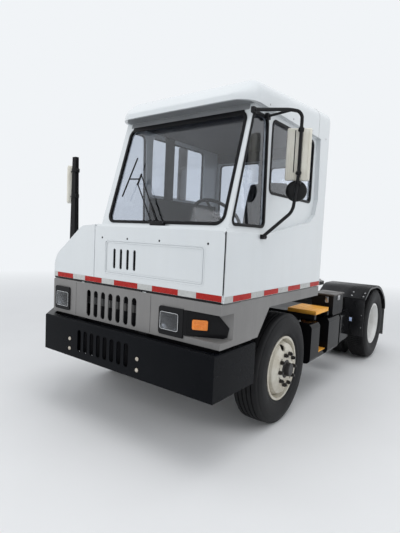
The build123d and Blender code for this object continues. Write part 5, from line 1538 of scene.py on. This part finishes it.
@dataclass
class CabInside:
    """Seat, steering wheel and dials."""

    voxel: float = 0.008
    pressure: float = 4.0
    frames: int = 20
    most_move: float = 0.008
    channel_depth: float = 0.009
    cushion: tuple[float, float, float] = (0.486, 0.486, 0.106)
    back: tuple[float, float, float] = (0.466, 0.588, 0.094)
    bellows: tuple[int, float, float] = (7, 1.302, 0.040)
    pedestal: Rows = (
        (0.500, 1.080, CAB_FLOOR, 0.760, 1.380, 1.300, 0.004), (0.440, 1.030, 1.590, 0.820, 1.430, 1.636, 0.01),
        (0.840, 1.300, 1.640, 0.868, 1.470, 1.700, 0.008))
    wheel: tuple[float, float, float] = (0.708, 1.859, 0.215)
    grip: float = 0.0145
    hub: tuple[tuple[float, float], ...] = (
        (0.0, -0.013), (0.045, -0.013), (0.050, -0.004), (0.046, 0.012), (0.030, 0.018), (0.0, 0.019))
    dial: tuple[tuple[float, float], ...] = (
        (0.0, 0.0), (0.044, 0.0), (0.046, 0.004), (0.042, 0.006), (0.040, 0.001), (0.0, 0.001))
    dials_across: tuple[float, ...] = (-0.17, -0.06, 0.06, 0.17)

    def pad(self, name: str, size: tuple[float, float, float], place: Matrix, channels: Sequence[float]) -> None:
        """Make one crowned pad with sewn channels.

        Args:
            name: The piece's name.
            size: Its width, depth and thickness.
            place: The matrix of its middle.
            channels: Local X of each sewn channel.
        """
        bm = bmesh.new()
        bmesh.ops.create_cube(bm, size=1.0)
        bmesh.ops.subdivide_edges(bm, edges=bm.edges[:], cuts=23, use_grid_fill=True)
        width, depth, thick = size
        for vert in bm.verts:
            across, along, up = vert.co * 2
            crown = (1 - across ** 4) * (1 - along ** 4)
            sides = 1 - 0.07 * (across * along) ** 2 - 0.05 * up * up
            height = up * (0.62 + 0.38 * crown) if up > 0 else up * 0.75
            for channel in channels:
                near = abs(across * width / 2 - channel)
                if up > 0.2:
                    height -= 0.16 * math.exp(-(near / 0.012) ** 2)
            vert.co = Vector((across * width / 2 * sides, along * depth / 2 * sides, height * thick / 2))
        bmesh.ops.transform(bm, matrix=place, verts=bm.verts[:])
        bmesh.ops.recalc_face_normals(bm, faces=bm.faces[:])
        for face in bm.faces:
            face.smooth = True
        mesh = bpy.data.meshes.new(name)
        bm.to_mesh(mesh)
        bm.free()
        mesh = self.swell(mesh, name)
        self.sew(mesh, place, channels)
        replaces = ["driver_seat"] if name == "seat cushion" else []
        thing = adopt(mesh, name, SEAT_CLOTH, "cab", replaces)

    def swell(self, mesh: bpy.types.Mesh, name: str) -> bpy.types.Mesh:
        """Fill a pad like a sewn cover: cloth under pressure, held near its cut shape.

        Args:
            mesh: The pad as it was cut.
            name: The pad's name.

        Returns:
            The filled pad.
        """
        scene = bpy.context.scene
        holder = bpy.data.objects.new(name + " cut", mesh)
        scene.collection.objects.link(holder)
        remesh = holder.modifiers.new("even mesh", "REMESH")
        remesh.mode = "VOXEL"
        remesh.voxel_size = self.voxel
        holder.data = self.applied(holder)
        holder.modifiers.clear()
        before = [vert.co.copy() for vert in holder.data.vertices]
        cloth = holder.modifiers.new("fill", "CLOTH")
        cloth.settings.use_pressure = True
        cloth.settings.uniform_pressure_force = self.pressure
        cloth.settings.effector_weights.gravity = 0.0
        cloth.collision_settings.use_collision = False
        cloth.point_cache.frame_start = 1
        cloth.point_cache.frame_end = self.frames
        for number in range(1, self.frames + 1):
            scene.frame_set(number)
        filled = self.applied(holder)
        scene.frame_set(1)
        for vert, start in zip(filled.vertices, before):
            move = vert.co - start
            if move.length > self.most_move:
                vert.co = start + move.normalized() * self.most_move
        holder.modifiers.clear()
        holder.data = filled
        holder.modifiers.new("finer", "SUBSURF").levels = 1
        filled = self.applied(holder)
        bpy.data.objects.remove(holder)
        for face in filled.polygons:
            face.use_smooth = True
        return filled

    @staticmethod
    def applied(holder: bpy.types.Object) -> bpy.types.Mesh:
        """The mesh that an object's modifiers give now."""
        seen = holder.evaluated_get(bpy.context.evaluated_depsgraph_get())
        return bpy.data.meshes.new_from_object(seen)

    def sew(self, mesh: bpy.types.Mesh, place: Matrix, channels: Sequence[float]) -> None:
        """Press the sewn channels back into a filled pad's upper side.

        Args:
            mesh: The filled pad.
            place: The matrix of its middle.
            channels: Local X of each sewn channel.
        """
        back = place.inverted()
        outward = place.to_3x3() @ UP
        for vert in mesh.vertices:
            local = back @ vert.co
            if local.z > 0.01:
                depth = sum(math.exp(-((local.x - channel) / 0.010) ** 2) for channel in channels)
                vert.co -= outward * (self.channel_depth * depth)

    def seat(self) -> None:
        """Make the driver's seat on its pedestal."""
        self.pad("seat cushion", self.cushion, Matrix.Translation(spot(DRIVER, 1.230, 1.700)), (-0.13, 0.13))
        lean = facing(spot(DRIVER, 1.573, 2.010), Vector((0, -0.97, 0.25)))
        self.pad("seat back", self.back, lean, (-0.12, 0.12))
        count, foot, pitch = self.bellows
        folds = []
        for level in range(count):
            inset = 0.012 if level % 2 else 0.0
            low = foot + level * pitch
            folds.append((0.515 + inset, 1.100 + inset, low, 0.745 - inset, 1.360 - inset, low + 0.036, 0.008))
        block_piece("seat pedestal", BLACK_PLASTIC, "cab", (*self.pedestal, *folds))

    def steering(self) -> None:
        """Make the steering wheel with its spokes and hub."""
        shape = Shape()
        behind, height, radius = self.wheel
        place = facing(spot(DRIVER, behind, height), Vector((0, 0.230, 0.250)))
        ring = [(radius + self.grip * math.cos(turn), self.grip * math.sin(turn)) for turn in turns(math.tau, 14)]
        shape.lathe(ring, place, 72)
        shape.lathe(self.hub, place, 32)
        for turn in (90, 210, 330):
            spoke = place @ Matrix.Rotation(math.radians(turn), 4, "Z")
            shape.slab((0.172, 0.026, 0.009), shifted(spoke, 0.125, 0, 0), 0.004)
        shape.piece("steering wheel", BLACK_PLASTIC, "cab", ["steering_wheel"])

    def dials(self) -> None:
        """Make the instrument cluster and its dials."""
        panel = Shape()
        bright = Shape()
        face = facing(spot(DRIVER, 0.5005, 1.664), Vector((0, 0.30, 0.95)), Vector((0, -1, 0.3)))
        for across in self.dials_across:
            place = shifted(face, across, 0.075, 0.004)
            panel.lathe(self.dial, place, 32)
            bright.slab((0.003, 0.030, 0.0015), shifted(place @ Matrix.Rotation(0.7, 4, "Z"), 0, 0.012, 0.003), 0.0)
        panel.piece("dials", BLACK_PLASTIC, "cab")
        bright.piece("dial hands", TAPE_WHITE, "cab")

    def build(self) -> None:
        """Make what the windows show."""
        self.seat()
        self.steering()
        self.dials()


@dataclass
class RearTrim:
    """Fender bolts, work lamp, battery lid, treads and tank fittings."""

    fender_foot: tuple[float, float] = (3.480, 0.950)
    fender_top: tuple[float, float] = (3.740, 1.0915)
    slope_bolts: tuple[tuple[float, ...], tuple[float, ...]] = ((1.038, 1.192), (0.050, 0.135))
    panel_bolts: tuple[tuple[float, ...], tuple[float, ...]] = ((1.195,), (0.55, 0.72))
    lamp_at: tuple[float, float, float] = (1.035, 3.4795, 0.654)
    lid: Rows = ((0.860, 2.470, 1.0705, 1.135, 2.850, 1.0885, 0.004, 3),)
    hasps: Rows = (
        (1.030, 2.4765, 0.985, 1.068, 2.480, 1.058, 0.0015), (1.1256, 2.620, 1.010, 1.134, 2.700, 1.068, 0.003))
    knobs: Rows = (
        (1.049, 2.4765, 1.035, 1.049, 2.467, 1.035, 0.011, 0.002),
        (1.134, 2.660, 1.03, 1.142, 2.660, 1.03, 0.012, 0.002))
    latch_ring: tuple[tuple[float, float], ...] = (
        (0.016, -0.003), (0.019, 0.0), (0.016, 0.003), (0.013, 0.0), (0.016, -0.003))
    plates: Rows = (
        (0.780, 1.990, 0.9385, 1.104, 2.395, 0.9500, 0.002), (1.096, 1.990, 0.9075, 1.104, 2.395, 0.9392, 0.001),
        (0.780, 1.990, 0.9075, 1.104, 1.998, 0.9392, 0.001), (0.780, 2.387, 0.9075, 1.104, 2.395, 0.9392, 0.001),
        (0.8612, 2.0815, 0.4655, 1.0995, 2.3685, 0.4770, 0.002))
    # Rows and columns of cleats, then the first one's place, the pitches and the plate's top.
    cleats: Rows = ((6, 8, 0.815, 2.018, 0.052, 0.050, 0.9498), (4, 5, 0.892, 2.115, 0.056, 0.055, 0.4768))
    straps: tuple[float, ...] = (1.900, 2.480, 2.700)
    caps: Rows = (
        (0.800, 1.960, 0.829, 0.800, 1.960, 0.872, 0.045, 0.004),
        (0.800, 1.960, 0.870, 0.800, 1.960, 0.886, 0.052, 0.004))
    reflector: Rows = ((0.855, 1.8394, 0.840, 0.925, 1.852, 0.868, 0.003),)

    def fender_fasteners(self) -> None:
        """Set the bright bolts on the fenders."""
        bolts = Shape()
        slope = (spot(0, *self.fender_top) - spot(0, *self.fender_foot)).normalized()
        normal = LEFT.cross(slope)
        for side in (1, -1):
            for across, along in product(*self.slope_bolts):
                at = spot(side * across, *self.fender_foot) + slope * along
                bolts.dome(facing(at, normal), 0.012, 0.007)
            for across, height in product(*self.panel_bolts):
                bolts.dome(facing(spot(side * across, self.fender_foot[0], height), FORWARD), 0.007, 0.004)
        bolts.piece("fender bolts", BRIGHT_STEEL, "chassis")

    def work_lamp(self) -> None:
        """Fit the small work lamp ahead of the left fender."""
        place = facing(spot(*self.lamp_at), FORWARD)
        for name, finish, size, lift, edge in (
                ("work lamp", BLACK_PLASTIC, (0.110, 0.075, 0.030), 0.0155, 0.008),
                ("work lamp lens", WORK_LENS, (0.090, 0.052, 0.006), 0.0315, 0.003)):
            shape = Shape()
            shape.slab(size, shifted(place, 0, 0, lift), edge, 3)
            shape.piece(name, finish, "chassis")

    def battery_lid(self) -> None:
        """Make the battery box's lid with its latches."""
        block_piece("battery lid", EXHAUST_STEEL, "chassis", self.lid)
        latch = Shape()
        latch.boxes(self.hasps)
        latch.rods(self.knobs)
        latch.lathe(self.latch_ring, facing(spot(1.049, 2.472, 1.005), FORWARD), 24)
        latch.piece("battery latch", BRIGHT_STEEL, "chassis")

    def treads(self) -> None:
        """Make the folded platform and low step, with cleats on both."""
        plates = Shape()
        plates.boxes(self.plates)
        for rows, columns, across, behind, row_pitch, column_pitch, top in self.cleats:
            for row, column in product(range(rows), range(columns)):
                at = spot(across + row * row_pitch, behind + column * column_pitch, top)
                plates.dome(facing(at, UP), 0.011, 0.004, 12)
        plates.piece("folded treads", TREAD_YELLOW, "chassis", ["boarding_treads"])

    def tank_fittings(self) -> None:
        """Strap the tanks and set a filler cap and the small reflector behind the wheel."""
        straps = tuple((0.6375, behind - 0.020, 0.460, 0.6405, behind + 0.020, 0.775, 0.001)
                       for behind in self.straps)
        block_piece("tank fittings", BLACK_PLASTIC, "chassis", straps, self.caps)
        # The reflector takes the amber lens finish with its faint glow: painted light on a part that is no lamp.
        block_piece("small amber reflector", AMBER_LENS, "chassis", self.reflector)

    def build(self) -> None:
        """Make the rear trim."""
        self.fender_fasteners()
        self.work_lamp()
        self.battery_lid()
        self.treads()
        self.tank_fittings()


def dress_frame(frame: dict) -> None:
    """Give every fixed node its finish.
    """
    slots = {entry["node"]: entry["material_slot"] for entry in frame["record"]["subparts"]}
    for node, thing in frame["nodes"].items():
        finish = NODE_FINISHES.get(node) or SLOT_FINISHES[slots[node]]
        thing.data.materials.clear()
        thing.data.materials.append(finish.material())


def main() -> None:
    """Build the scene in order."""
    logging.basicConfig(level=logging.INFO, format="%(name)s: %(message)s")
    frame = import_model()
    build_effects()
    dress_frame(frame)
    makers = (Studio(), Tyres(), SafetyTape(), Windows(), FrontEnd(), Roof(), InteriorShade(), Fenders(), Mirrors(),
              Wiper(), CabInside(), RearTrim())
    FrontWheel().build(frame)
    for maker in makers:
        maker.build()
        LOG.info("%s done", type(maker).__name__)


if __name__ == "__main__":
    main()
